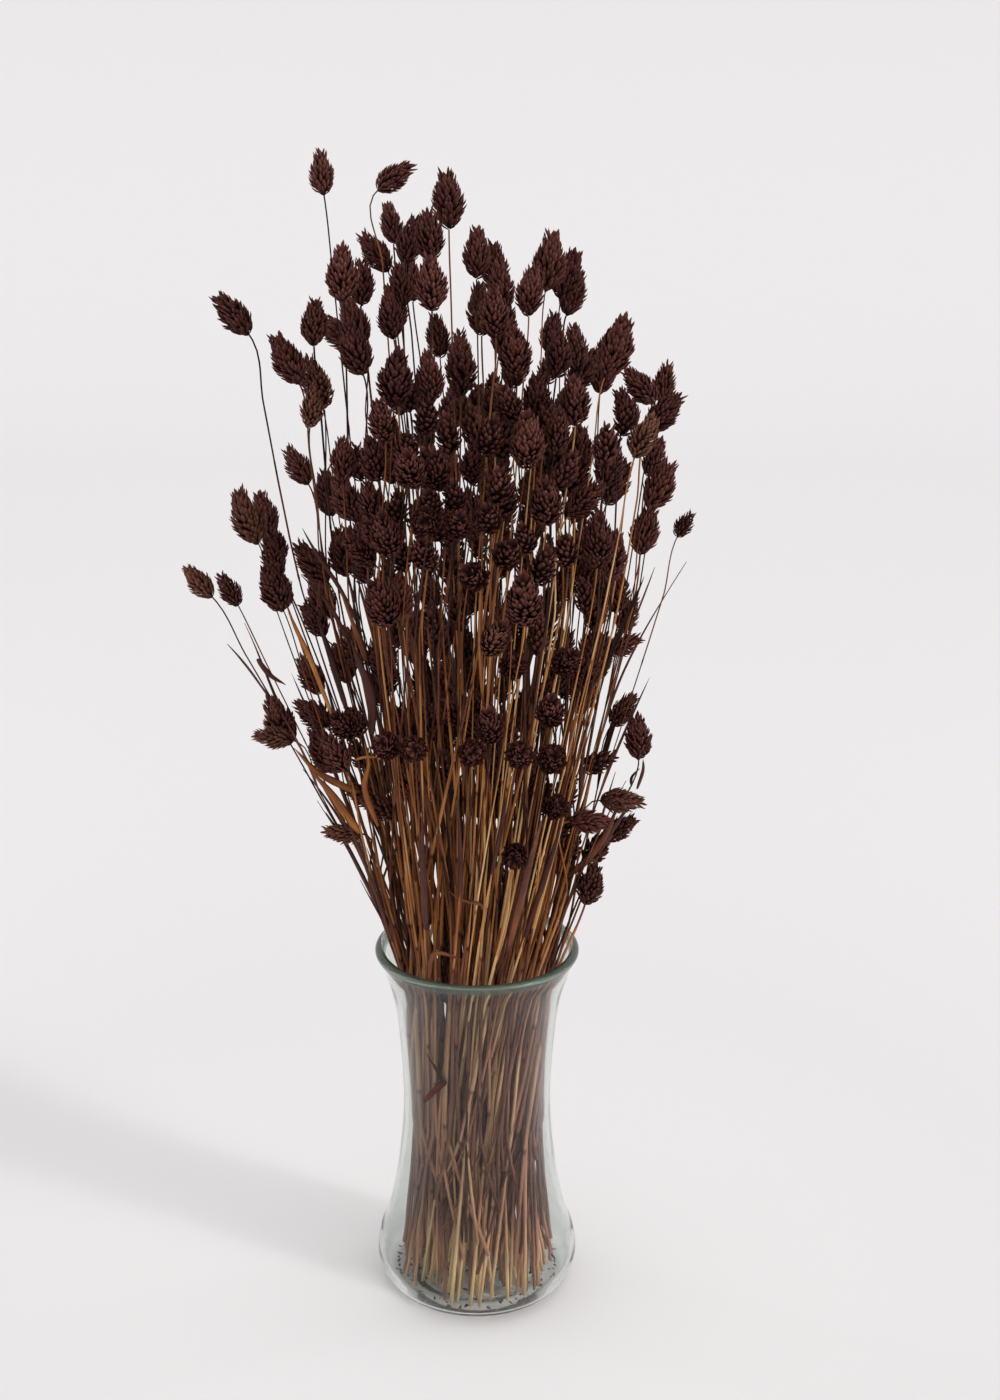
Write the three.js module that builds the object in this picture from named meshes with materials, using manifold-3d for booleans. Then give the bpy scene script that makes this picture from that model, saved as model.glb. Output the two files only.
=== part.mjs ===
// Dried phalaris grass (canary grass) in a waisted clear glass vase, in millimetres, +Z up.
// The origin is the centre of the vase's flat foot. +X is to the right and -Y towards the viewer.
// The vase is one turned solid. The grass is 178 stems, each with one seed head, gathered in 56
// sprigs of three or four stems that are fused where they touch in the neck of the vase.
import * as THREE from "three";
import { mergeVertices } from "three/addons/utils/BufferGeometryUtils.js";
import Module from "manifold-3d";

const wasm = await Module();
wasm.setup();

// Vase: heights and outer radii of its turned outline, from the foot up
const VASE_HEIGHT = 205;
const FOOT_RADIUS = 37;
const HEEL_RADIUS = 19;
const BULGE_RADIUS = 56;
const BULGE_HEIGHT = 19;
const HEEL_TURNS = [27, 56, 90];
const SIDE_OUTLINE = [
  [54.4, 30],
  [49.8, 43],
  [44.4, 69],
  [40.8, 104],
  [41.3, 136],
  [44.8, 172],
  [51.6, 196],
];
const BEAD_RADIUS = 2.6;
const BEAD_TURNS = [-20, 35, 90, 145];
const RIM_RADIUS = 55;
const WALL = 3;
const FLOOR = 6;
const INNER_FLOOR_RADIUS = 45;
const INNER_HEEL = [50, 9.2];
const VASE_SIDES = 24;

// Bunch: how the stems spread from the neck, as outer radius at each height of their bends
const STEM_GAP = 0.3;
const BEND_HEIGHTS = [FLOOR + STEM_GAP, 105, 173, 248, 400];
const BEND_SPREAD = [40, 36.5, 40, 63, 137];
const BEND_TWIST = [-16, 0, 14, 27, 39].map(THREE.MathUtils.degToRad);
const ROOM_IN_VASE = [44.5, 37.2, 39.3];
const NECK = 1;
const RIM = 3;
const SHORTEST_TOP = 22;
const HEAD_PULL = 1.6;
const FOOT_STRAY = 16;
const SPRIGS = 56;
const SPRIG_STEP = 1.8;

// Stem and head sizes
const STEM_RADIUS_LOW = 1.4;
const STEM_RADIUS_TOP = 0.75;
const STEM_TAPER = 320;
const STEM_SIDES = 3;
const HEAD_SIZE = 1.08;
const HEAD_SLENDER = 0.215;
const HEAD_RADIUS_MIN = 4;
const HEAD_RADIUS_MAX = 7;
const SCALE_SIDES = 8;
const SCALE_ROWS = [
  { at: 0.16, radius: 0.76 },
  { at: 0.46, radius: 1.04 },
  { at: 0.76, radius: 0.74 },
];
const HIDDEN_SIDES = 6;
const HIDDEN_ROWS = [
  { at: 0.24, radius: 0.92 },
  { at: 0.64, radius: 0.94 },
];
const SCALE_OUT = 1.2;
const SCALE_IN = 0.84;
const SCALE_LIFT = 0.1;
const HEAD_TIP = 0.94;
const FACE_OUT = 0.25;
const FACE_OUT_DEPTH = 300;
const NODDING = 0.5;
const BEND_UNDER_HEAD = 5;
const BALLS = [
  { at: 0.2, radius: 1.0 },
  { at: 0.5, radius: 1.26 },
  { at: 0.82, radius: 0.98 },
];

// Easing of the stems and heads apart: how far each step goes and how much room each piece keeps
const EASE_STEPS = 260;
const EASE = 0.45;
const STEM_ROOM = 1.22;
const STEM_CLEAR = 0.4;
const HEAD_CLEAR = 0.9;
const SMOOTH = 0.22;
const RECALL = 0.02;
const QUIET_STEPS = 70;
const HEAD_YIELDS = 0.35;

// The viewer's eye, for heads that are placed as they are seen
const EYE = new THREE.Vector3(0, -930, 634);

// Heads as they are seen from the front: across and up on the upright plane through the vase's
// axis, depth behind that plane, lean to the right in degrees, length, and nod to the viewer
const TOP_HEADS = [
  [-71, 607, 0, -8, 22, 0],
  [-39, 605, -10, 50, 22, 0],
  [-46, 584, 25, -3, 21, 0],
  [-16, 595, 0, 0, 29, 5],
  [-35, 576, 10, 8, 25, 5],
  [-24, 578, -30, -5, 26, 10],
  [-23, 555, -70, 0, 27, 15],
  [-63, 560, -45, -4, 28, 10],
  [-54, 556, 15, 4, 24, 0],
  [-39, 554, -10, -3, 22, 0],
  [-44, 543, 30, -8, 26, 5],
  [0, 570, 15, 0, 26, 0],
  [7, 541, -50, -6, 26, 15],
  [13, 554, -10, -6, 24, 0],
  [26, 552, -30, 0, 25, 5],
  [36, 566, 0, 10, 30, 0],
  [45, 560, 30, 13, 27, 0],
  [19, 522, -55, -4, 28, 15],
  [39, 521, -25, 8, 24, 5],
  [47, 525, 15, -2, 24, 0],
  [49, 499, -50, 0, 27, 10],
];
const LEFT_HEADS = [
  [-120, 541, -20, -34, 26, 5],
  [-95, 519, -20, -25, 28, 5],
  [-80, 537, -30, 0, 24, 5],
  [-68, 531, 15, -50, 26, 0],
  [-61, 524, -45, -18, 28, 10],
  [-81, 509, 15, -15, 26, 0],
  [-81, 495, -35, 10, 21, 5],
  [-39, 509, -75, 4, 30, 15],
  [-91, 466, 0, -30, 23, 0],
  [-67, 450, -35, -22, 27, 5],
  [-53, 448, -45, -14, 24, 5],
  [-117, 440, -25, -22, 30, 5],
  [-108, 441, 20, -18, 26, 0],
  [-142, 406, 0, -42, 22, 0],
  [-127, 403, -10, -25, 20, 0],
  [-102, 420, -10, -12, 22, 0],
  [-105, 403, -45, -20, 27, 5],
  [-96, 404, 15, -22, 24, 0],
  [-89, 417, -10, -38, 27, 0],
  [-89, 388, 15, -28, 23, 0],
  [-72, 422, 0, -14, 27, 0],
  [-59, 422, -60, -42, 22, 10],
  [-89, 357, 0, -32, 24, 0],
  [-104, 333, -10, -27, 29, 0],
  [-109, 322, -30, -78, 21, 0],
  [-90, 335, -20, -50, 22, 0],
  [-85, 316, 5, -26, 30, 0],
  [-73, 329, -55, -20, 24, 45],
  [-73, 314, -45, -25, 24, 10],
  [-73, 270, -20, -88, 21, 0],
  [-72, 364, 20, -14, 25, 0],
  [-63, 332, -30, -10, 22, 20],
];
const FRONT_HEADS = [
  [-42, 489, -75, -4, 24, 15],
  [-48, 469, -60, -10, 25, 15],
  [-33, 465, -95, -6, 26, 25],
  [-22, 463, -85, 4, 25, 25],
  [-24, 437, -118, -10, 25, 65],
  [-11, 435, -112, 10, 24, 60],
  [-44, 430, -85, -6, 28, 20],
  [-46, 396, -80, -10, 29, 15],
  [-47, 317, -95, -25, 25, 60],
  [-35, 316, -102, 0, 24, 65],
  [15, 497, -60, -18, 24, 20],
  [29, 500, -40, 4, 26, 5],
  [26, 479, -75, 6, 31, 15],
  [-3, 467, -60, 4, 22, 15],
  [36, 448, -80, 0, 29, 20],
  [56, 449, -55, 40, 25, 10],
  [64, 428, -55, 2, 28, 10],
  [22, 396, -112, -2, 33, 25],
  [13, 375, -100, 20, 24, 30],
  [20, 362, -80, 10, 25, 55],
  [46, 363, -78, 20, 25, 50],
  [37, 336, -78, 6, 26, 40],
  [7, 329, -90, -4, 25, 25],
  [-1, 313, -98, 0, 25, 70],
  [27, 312, -92, 10, 25, 65],
  [42, 311, -75, 15, 27, 60],
  [41, 284, -60, 30, 24, 55],
  [19, 257, -64, 0, 24, 75],
  [60, 277, -25, 88, 23, 0],
  [-8, 515, -25, 2, 28, 5],
];
const RIGHT_HEADS = [
  [69, 525, -50, 20, 33, 10],
  [81, 506, -15, -40, 24, 0],
  [92, 507, 25, 4, 22, 0],
  [73, 494, -5, -20, 23, 0],
  [91, 493, -40, 32, 25, 10],
  [82, 481, -55, 18, 24, 5],
  [89, 470, 15, 20, 22, 0],
  [94, 456, -20, 27, 28, 0],
  [85, 433, -10, 6, 27, 0],
  [107, 436, 0, 25, 16, 0],
  [55, 474, -10, 3, 28, 5],
  [67, 458, 25, 20, 27, 0],
  [71, 403, 0, 5, 26, 0],
  [80, 388, 15, 18, 21, 0],
  [71, 373, -15, 66, 21, 0],
  [59, 347, 0, 20, 25, 0],
  [77, 337, 10, 36, 22, 0],
  [85, 322, -10, -2, 26, 0],
  [82, 287, -20, 88, 24, 0],
  [78, 271, 5, 53, 23, 0],
  [64, 239, -20, 15, 26, 0],
];

// Heads behind, which a rule places: turn about the axis, height and share of the spread
const BACK_HEADS = 43;
const BACK_TURN = 0.618034;
const BACK_SIDE = 22;
const BACK_LOWEST = 262;
const BACK_HIGHEST = 572;
const BACK_SLIM_RIGHT = 0.3;
const BACK_REACH = [
  [262, 66],
  [330, 104],
  [410, 130],
  [480, 116],
  [540, 84],
  [580, 56],
];

// Heads inside the bunch, all round its axis, between the others
const INNER_HEADS = 31;
const INNER_LOWEST = 300;
const INNER_HIGHEST = 545;
const INNER_REACH = [0.12, 0.72];

// Dried leaf blades on the outermost stems: turn about the axis in degrees (0 right, 90 back),
// height of the root, length, width and how far the blade bends away
const LEAVES = [
  [192, 225, 70, 5, 0.15],
  [176, 245, 64, 4.5, 0.3],
  [204, 300, 50, 4.5, 0.25],
  [170, 330, 50, 4.5, 0.3],
  [212, 215, 90, 5, 0.1],
  [350, 232, 70, 4.5, 0.1],
  [332, 240, 60, 4.5, 0.3],
  [15, 290, 55, 4.5, 0.2],
  [290, 222, 90, 5, 0.1],
  [252, 235, 85, 5, 0.1],
  [58, 230, 80, 4.5, 0.15],
  [108, 260, 70, 4.5, 0.2],
  [142, 225, 80, 5, 0.15],
];
const LEAF_THICKNESS = 1.2;
const LEAF_WIDTHS = [0.5, 1, 1, 0.85, 0.5];

const mix = THREE.MathUtils.lerp;
const UP = new THREE.Vector3(0, 0, 1);

// A repeatable draw between 0 and 1 from two whole numbers
function draw(index, kind) {
  const turned = Math.sin(index * 12.9898 + kind * 78.233 + 4.1) * 43758.5453;
  return turned - Math.floor(turned);
}

// Value at x on a row of [x, value] points, straight between them
function along(points, x) {
  let i = 1;
  while (i < points.length - 1 && points[i][0] < x) i += 1;
  const [x0, y0] = points[i - 1];
  const [x1, y1] = points[i];
  return y0 + ((y1 - y0) * (x - x0)) / (x1 - x0);
}

// A head that is listed as it is seen, moved along its line of sight to its depth
function seenHead([across, up, depth, lean, length, nod]) {
  const onPlane = new THREE.Vector3(across, 0, up);
  const centre = onPlane.sub(EYE).multiplyScalar(1 - depth / EYE.y).add(EYE);
  const leaning = THREE.MathUtils.degToRad(lean);
  const nodding = THREE.MathUtils.degToRad(nod);
  const axis = new THREE.Vector3(
    Math.sin(leaning) * Math.cos(nodding),
    -Math.sin(nodding) + FACE_OUT * Math.sin((Math.PI * depth) / FACE_OUT_DEPTH),
    Math.cos(leaning) * Math.cos(nodding),
  ).normalize();
  return { centre, axis, length, firm: 1, sides: SCALE_SIDES, rows: SCALE_ROWS };
}

// A head at the back, by rule
function backHead(unused, j) {
  const share = (j * BACK_TURN) % 1;
  const turn = THREE.MathUtils.degToRad(mix(BACK_SIDE, 180 - BACK_SIDE, (share + 0.03 * draw(j, 1)) % 1));
  const height = mix(BACK_LOWEST, BACK_HIGHEST, (j + 0.5) / BACK_HEADS);
  const inward = j % 3 === 2 ? 0.5 : 0.95;
  const slimmer = 1 - BACK_SLIM_RIGHT * Math.max(0, Math.cos(turn));
  const reach = along(BACK_REACH, height) * slimmer * (inward - 0.12 * draw(j, 2));
  const outward = new THREE.Vector3(Math.cos(turn), Math.sin(turn), 0);
  const centre = outward.clone().multiplyScalar(reach).setZ(height);
  const fall = mix(0.15, 0.75, draw(j, 3)) * (inward > 0.7 ? 1 : 0.4);
  const axis = outward.multiplyScalar(fall).add(UP).normalize();
  const length = mix(22, 29, draw(j, 4));
  return { centre, axis, length, firm: 0.5, sides: HIDDEN_SIDES, rows: HIDDEN_ROWS };
}

// A head inside the bunch, by rule
function innerHead(unused, j) {
  const turn = 2 * Math.PI * ((j * BACK_TURN) % 1);
  const height = mix(INNER_LOWEST, INNER_HIGHEST, (j + 0.5) / INNER_HEADS);
  const reach = along(BACK_REACH, height) * mix(...INNER_REACH, Math.sqrt(draw(j, 31)));
  const outward = new THREE.Vector3(Math.cos(turn), Math.sin(turn), 0);
  const centre = outward.clone().multiplyScalar(reach).setZ(height);
  const axis = outward.multiplyScalar(0.3 * draw(j, 32)).add(UP).normalize();
  const length = mix(22, 28, draw(j, 33));
  return { centre, axis, length, firm: 0.2, sides: HIDDEN_SIDES, rows: HIDDEN_ROWS };
}

// All the heads, each with its radius, its base and its place in the neck
function plannedHeads() {
  const seen = [TOP_HEADS, LEFT_HEADS, FRONT_HEADS, RIGHT_HEADS].flat().map(seenHead);
  const back = Array.from({ length: BACK_HEADS }, backHead);
  const inner = Array.from({ length: INNER_HEADS }, innerHead);
  const heads = [...seen, ...back, ...inner];
  for (const head of heads) {
    head.length *= HEAD_SIZE;
    head.radius = THREE.MathUtils.clamp(head.length * HEAD_SLENDER, HEAD_RADIUS_MIN, HEAD_RADIUS_MAX);
    head.base = head.centre.clone().addScaledVector(head.axis, -head.length / 2);
    const bend = bendAt(head.base.z);
    head.neck = new THREE.Vector2(head.base.x, head.base.y).rotateAround(new THREE.Vector2(), -bend.twist);
    head.neck.multiplyScalar(BEND_SPREAD[NECK] / bend.spread);
  }
  // Even out the neck: the order from the middle outwards stays, the crowding goes
  const order = heads.map((head, i) => i).sort((a, b) => heads[a].neck.length() - heads[b].neck.length());
  order.forEach((i, rank) => {
    heads[i].neck.setLength(BEND_SPREAD[NECK] * Math.sqrt((rank + 0.5) / heads.length));
  });
  return heads;
}

// Spread and twist of the bunch at a height
function bendAt(height) {
  const spread = BEND_HEIGHTS.map((z, k) => [z, BEND_SPREAD[k]]);
  const twist = BEND_HEIGHTS.map((z, k) => [z, BEND_TWIST[k]]);
  return { spread: along(spread, height), twist: along(twist, height) };
}

// Stem radius at a height
function stemRadius(height) {
  const share = THREE.MathUtils.clamp((height - BEND_HEIGHTS[NECK]) / STEM_TAPER, 0, 1);
  return mix(STEM_RADIUS_LOW, STEM_RADIUS_TOP, share);
}

// Splits the stems into sprigs of neighbours in the neck, halving again and again
function shareOut(heads, members, sprigs, first) {
  if (sprigs === 1) {
    for (const i of members) heads[i].sprig = first;
    return;
  }
  const xs = members.map((i) => heads[i].neck.x);
  const ys = members.map((i) => heads[i].neck.y);
  const wide = Math.max(...xs) - Math.min(...xs) > Math.max(...ys) - Math.min(...ys);
  const sorted = members
    .slice()
    .sort((a, b) => (wide ? heads[a].neck.x - heads[b].neck.x : heads[a].neck.y - heads[b].neck.y));
  const left = Math.floor(sprigs / 2);
  const cut = Math.round((members.length * left) / sprigs);
  shareOut(heads, sorted.slice(0, cut), left, first);
  shareOut(heads, sorted.slice(cut), sprigs - left, first + left);
}

// The stems as rows of points, one at each bend height and the last at the head's base
function plannedStems(heads) {
  return heads.map((head, i) => {
    const bends = BEND_HEIGHTS.filter((z) => z < head.base.z - SHORTEST_TOP).length;
    const atBase = bendAt(head.base.z);
    const straight = head.neck
      .clone()
      .multiplyScalar(atBase.spread / BEND_SPREAD[NECK])
      .rotateAround(new THREE.Vector2(), atBase.twist);
    const off = new THREE.Vector2(head.base.x, head.base.y).sub(straight);
    const points = [];
    for (let k = 0; k < bends; k += 1) {
      const z = BEND_HEIGHTS[k];
      const free = THREE.MathUtils.clamp((z - BEND_HEIGHTS[RIM]) / (head.base.z - BEND_HEIGHTS[RIM]), 0, 1);
      const p = head.neck
        .clone()
        .multiplyScalar(BEND_SPREAD[k] / BEND_SPREAD[NECK])
        .rotateAround(new THREE.Vector2(), BEND_TWIST[k]);
      p.addScaledVector(off, free ** HEAD_PULL);
      if (k === 0) {
        p.x += FOOT_STRAY * (2 * draw(i, 23) - 1);
        p.y += FOOT_STRAY * (2 * draw(i, 24) - 1);
      }
      points.push([p.x, p.y, z]);
    }
    points.push([head.base.x, head.base.y, head.base.z]);
    return points;
  });
}

// Eases the stems and heads apart, step by step, until nothing of one sprig touches another
function ease(heads, stems) {
  const rest = stems.map((points) => points.map((p) => [...p]));
  for (let step = 0; step < EASE_STEPS; step += 1) {
    const push = stems.map((points) => points.map(() => [0, 0]));
    partStems(heads, stems, push);
    partHeads(heads, stems, push);
    stems.forEach((points, i) =>
      points.forEach((p, k) => {
        p[0] += EASE * push[i][k][0];
        p[1] += EASE * push[i][k][1];
      }),
    );
    if (step < EASE_STEPS - QUIET_STEPS) smoothStems(heads, stems, rest);
    gatherSprigs(heads, stems);
    keepInVase(stems);
  }
}

// Where a stem passes a height, with the bend below it and the share of the way to the next
function passing(points, z, from = 0) {
  let k = from;
  while (k < points.length - 2 && points[k + 1][2] < z) k += 1;
  const [x0, y0, z0] = points[k];
  const [x1, y1, z1] = points[k + 1];
  const t = (z - z0) / (z1 - z0);
  const sx = (x1 - x0) / (z1 - z0);
  const sy = (y1 - y0) / (z1 - z0);
  return { k, t, x: x0 + t * (x1 - x0), y: y0 + t * (y1 - y0), sx, sy };
}

function shove(push, i, k, t, dx, dy) {
  push[i][k][0] += (1 - t) * dx;
  push[i][k][1] += (1 - t) * dy;
  push[i][k + 1][0] += t * dx;
  push[i][k + 1][1] += t * dy;
}

function partStems(heads, stems, push) {
  for (let i = 0; i < stems.length; i += 1) {
    for (let j = i + 1; j < stems.length; j += 1) {
      const a = stems[i];
      const b = stems[j];
      const shared = Math.min(a.length, b.length) - 1;
      for (let k = 0; k < shared; k += 1) {
        if (heads[i].sprig === heads[j].sprig && k <= NECK) continue;
        const z0 = a[k][2];
        const z1 = Math.min(a[k + 1][2], b[k + 1][2]);
        const fa = (z1 - z0) / (a[k + 1][2] - z0);
        const fb = (z1 - z0) / (b[k + 1][2] - z0);
        const x0 = a[k][0] - b[k][0];
        const y0 = a[k][1] - b[k][1];
        const need = STEM_ROOM * (2 * stemRadius(z0) + STEM_CLEAR);
        const x1 = a[k][0] + fa * (a[k + 1][0] - a[k][0]) - b[k][0] - fb * (b[k + 1][0] - b[k][0]);
        const y1 = a[k][1] + fa * (a[k + 1][1] - a[k][1]) - b[k][1] - fb * (b[k + 1][1] - b[k][1]);
        const ex = x1 - x0;
        const ey = y1 - y0;
        const t = THREE.MathUtils.clamp(-(x0 * ex + y0 * ey) / (ex * ex + ey * ey + 1e-12), 0, 1);
        const dx = x0 + t * ex;
        const dy = y0 + t * ey;
        const d = Math.hypot(dx, dy) + 1e-9;
        if (d >= need) continue;
        const by = (need - d) / (2 * d);
        shove(push, i, k, t * fa, dx * by, dy * by);
        shove(push, j, k, t * fb, -dx * by, -dy * by);
      }
    }
  }
}

// Each head as three balls along its axis
function ballsOf(head, points, i) {
  const [x, y, z] = points[points.length - 1];
  return BALLS.map((ball) => ({
    i,
    x: x + head.axis.x * head.length * ball.at,
    y: y + head.axis.y * head.length * ball.at,
    z: z + head.axis.z * head.length * ball.at,
    radius: head.radius * ball.radius,
  }));
}

function shoveHead(push, i, dx, dy) {
  const last = push[i].length - 1;
  push[i][last][0] += dx;
  push[i][last][1] += dy;
}

function partHeads(heads, stems, push) {
  const balls = stems.flatMap((points, i) => ballsOf(heads[i], points, i));
  for (const ball of balls) {
    for (let j = 0; j < stems.length; j += 1) {
      const points = stems[j];
      if (j === ball.i || ball.z > points[points.length - 1][2]) continue;
      const at = passing(points, ball.z);
      const hx = ball.x - at.x;
      const hy = ball.y - at.y;
      const lean = (hx * at.sx + hy * at.sy) / (1 + at.sx * at.sx + at.sy * at.sy);
      const dx = hx - lean * at.sx;
      const dy = hy - lean * at.sy;
      const d = Math.hypot(dx, dy, lean) + 1e-9;
      const need = ball.radius + stemRadius(ball.z) + HEAD_CLEAR;
      if (d >= need) continue;
      const by = (need - d) / d;
      const stemBy = (HEAD_YIELDS - 1) * by;
      shoveHead(push, ball.i, HEAD_YIELDS * dx * by, HEAD_YIELDS * dy * by);
      shove(push, j, at.k, at.t, stemBy * dx, stemBy * dy);
    }
  }
  for (let a = 0; a < balls.length; a += 1) {
    for (let b = a + 1; b < balls.length; b += 1) {
      const p = balls[a];
      const q = balls[b];
      const need = p.radius + q.radius + HEAD_CLEAR;
      const dz = p.z - q.z;
      if (Math.abs(dz) >= need || p.i === q.i) continue;
      const dx = p.x - q.x;
      const dy = p.y - q.y;
      const d = Math.hypot(dx, dy, dz) + 1e-9;
      if (d >= need) continue;
      const by = (need - d) / (2 * Math.hypot(dx, dy) + 1e-6);
      shoveHead(push, p.i, dx * by, dy * by);
      shoveHead(push, q.i, -dx * by, -dy * by);
    }
  }
}

// Spreads each stem's shift along it, and draws the head back towards its planned place
function smoothStems(heads, stems, rest) {
  stems.forEach((points, i) => {
    const last = points.length - 1;
    for (const c of [0, 1]) {
      const shift = points.map((p, k) => p[c] - rest[i][k][c]);
      for (let k = 0; k <= last; k += 1) {
        const below = shift[Math.max(k - 1, 0)];
        const above = shift[Math.min(k + 1, last)];
        points[k][c] += SMOOTH * ((below + above) / 2 - shift[k]);
      }
      points[last][c] -= RECALL * heads[i].firm * shift[last];
    }
  });
}

// Lines up each sprig's stems in the neck: the way they lie, and each one's place in the row
function lineUp(heads) {
  for (let s = 0; s < SPRIGS; s += 1) {
    const members = heads.filter((head) => head.sprig === s);
    const middle = new THREE.Vector2();
    for (const head of members) middle.addScaledVector(head.neck, 1 / members.length);
    const far = members.reduce((a, b) => (a.neck.distanceTo(middle) >= b.neck.distanceTo(middle) ? a : b));
    const way = far.neck.clone().sub(middle).normalize();
    members.sort((a, b) => a.neck.dot(way) - b.neck.dot(way));
    members.forEach((head, rank) => {
      head.way = way;
      head.place = rank - (members.length - 1) / 2;
    });
  }
}

// Brings the stems of each sprig together in the neck, each one's edge a little into the next
function gatherSprigs(heads, stems) {
  const sums = Array.from({ length: SPRIGS }, () => [0, 0, 0]);
  stems.forEach((points, i) => {
    const sum = sums[heads[i].sprig];
    sum[0] += points[NECK][0];
    sum[1] += points[NECK][1];
    sum[2] += 1;
  });
  stems.forEach((points, i) => {
    const [x, y, count] = sums[heads[i].sprig];
    const { way, place } = heads[i];
    points[NECK][0] = x / count + SPRIG_STEP * place * way.x;
    points[NECK][1] = y / count + SPRIG_STEP * place * way.y;
  });
}

function keepInVase(stems) {
  for (const points of stems) {
    ROOM_IN_VASE.forEach((room, k) => {
      const reach = Math.hypot(points[k][0], points[k][1]);
      const limit = room - STEM_RADIUS_LOW - STEM_CLEAR;
      const share = Math.min(1, limit / reach);
      points[k][0] *= share;
      points[k][1] *= share;
    });
  }
}

// A closed surface over a row of rings, each ring a row of points going the same way round.
// Neighbouring rings may have different numbers of points.
function loft(rings, tip) {
  const positions = [];
  const face = (a, b, c) => positions.push(...a.toArray(), ...b.toArray(), ...c.toArray());
  const first = rings[0];
  for (let i = 1; i < first.length - 1; i += 1) face(first[0], first[i + 1], first[i]);
  for (let r = 0; r < rings.length - 1; r += 1) {
    const low = rings[r];
    const high = rings[r + 1];
    let i = 0;
    let j = 0;
    while (i < low.length || j < high.length) {
      const p = low[i % low.length];
      const q = high[j % high.length];
      if (j >= high.length || (i < low.length && (i + 1) / low.length <= (j + 1) / high.length)) {
        face(p, low[(i + 1) % low.length], q);
        i += 1;
      } else {
        face(p, high[(j + 1) % high.length], q);
        j += 1;
      }
    }
  }
  const last = rings[rings.length - 1];
  for (let i = 0; i < last.length; i += 1) face(last[i], last[(i + 1) % last.length], tip);
  const geometry = new THREE.BufferGeometry();
  geometry.setAttribute("position", new THREE.Float32BufferAttribute(positions, 3));
  return geometry;
}

// A ring of points square to a direction; side is a level vector that fixes its turn
function ring(centre, direction, side, radiusOf, count, liftOf = () => 0) {
  const n = direction.clone().normalize();
  const u = side.clone().addScaledVector(n, -side.dot(n)).normalize();
  const v = n.clone().cross(u);
  return Array.from({ length: count }, (unused, i) => {
    const angle = (2 * Math.PI * i) / count;
    return centre
      .clone()
      .addScaledVector(u, radiusOf(i) * Math.cos(angle))
      .addScaledVector(v, radiusOf(i) * Math.sin(angle))
      .addScaledVector(n, liftOf(i));
  });
}

// One stem with its head: a three-sided stem that opens into rows of staggered scale tips
function stemAndHead(head, points) {
  const level = new THREE.Vector3(head.axis.x, head.axis.y, 0);
  if (level.length() < 1e-3) level.set(1, 0, 0);
  const side = level.normalize().cross(UP);
  const third = (2 * Math.PI) / STEM_SIDES;
  const headTurn = Math.atan2(side.y, side.x);
  const sprigTurn = head.way.angle();
  const start = sprigTurn + third * Math.round((headTurn - sprigTurn) / third);
  const rings = points.slice(0, -1).map(([x, y, z], k) => {
    const turn = mix(start, headTurn, Math.max(0, k - NECK - 1) / (points.length - NECK - 2));
    const edge = new THREE.Vector3(Math.cos(turn), Math.sin(turn), 0);
    return ring(new THREE.Vector3(x, y, z), UP, edge, () => stemRadius(z), STEM_SIDES);
  });
  const base = new THREE.Vector3(...points[points.length - 1]);
  const halfway = head.axis.clone().add(UP);
  if (head.axis.z < NODDING) {
    const under = base.clone().addScaledVector(halfway.clone().normalize(), -BEND_UNDER_HEAD);
    rings.push(ring(under, halfway.clone().add(UP), side, () => STEM_RADIUS_TOP, STEM_SIDES));
  }
  rings.push(ring(base, head.axis.clone().add(halfway), side, () => STEM_RADIUS_TOP, STEM_SIDES));
  head.rows.forEach((row, k) => {
    const isTip = (i) => (i + k) % 2 === 0;
    const centre = base.clone().addScaledVector(head.axis, row.at * head.length);
    const radiusOf = (i) => head.radius * row.radius * (isTip(i) ? SCALE_OUT : SCALE_IN);
    const liftOf = (i) => (isTip(i) ? SCALE_LIFT * head.length : 0);
    rings.push(ring(centre, head.axis, side, radiusOf, head.sides, liftOf));
  });
  const tip = base.clone().addScaledVector(head.axis, HEAD_TIP * head.length);
  return loft(rings, tip);
}

// The stem that stands furthest out in a direction at a height
function outermost(stems, outward, height) {
  const reaches = stems.map((points) => {
    if (points[points.length - 1][2] < height + SHORTEST_TOP) return -Infinity;
    const at = passing(points, height);
    return at.x * outward.x + at.y * outward.y;
  });
  return reaches.indexOf(Math.max(...reaches));
}

// A dried blade with a raised midrib, which starts in its stem and bends away as it rises
function leaf(points, outward, [, height, length, width, away]) {
  const at = passing(points, height);
  const tangent = new THREE.Vector3(at.sx, at.sy, 1).normalize();
  const side = outward.clone().cross(UP);
  const step = length / LEAF_WIDTHS.length;
  const place = new THREE.Vector3(at.x, at.y, height);
  const rings = LEAF_WIDTHS.map((share, k) => {
    const bent = (away * k) / (LEAF_WIDTHS.length - 1);
    const direction = tangent.clone().addScaledVector(outward, bent).normalize();
    const lift = direction.clone().cross(side);
    const left = place.clone().addScaledVector(side, (-share * width) / 2);
    const right = place.clone().addScaledVector(side, (share * width) / 2);
    const rib = place.clone().addScaledVector(lift, LEAF_THICKNESS);
    place.addScaledVector(direction, step);
    return [right, rib, left];
  });
  return loft(rings, place);
}

function solidOf(geometry) {
  const bare = new THREE.BufferGeometry();
  bare.setAttribute("position", geometry.getAttribute("position"));
  const merged = mergeVertices(bare, 1e-4);
  return new wasm.Manifold(
    new wasm.Mesh({
      numProp: 3,
      vertProperties: merged.attributes.position.array,
      triVerts: new Uint32Array(merged.index.array),
    }),
  );
}

function geometryOf(solid) {
  const mesh = solid.getMesh();
  const geometry = new THREE.BufferGeometry();
  geometry.setAttribute("position", new THREE.BufferAttribute(mesh.vertProperties, 3));
  geometry.setIndex(new THREE.BufferAttribute(mesh.triVerts, 1));
  const flat = geometry.toNonIndexed();
  flat.computeVertexNormals();
  return flat;
}

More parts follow.
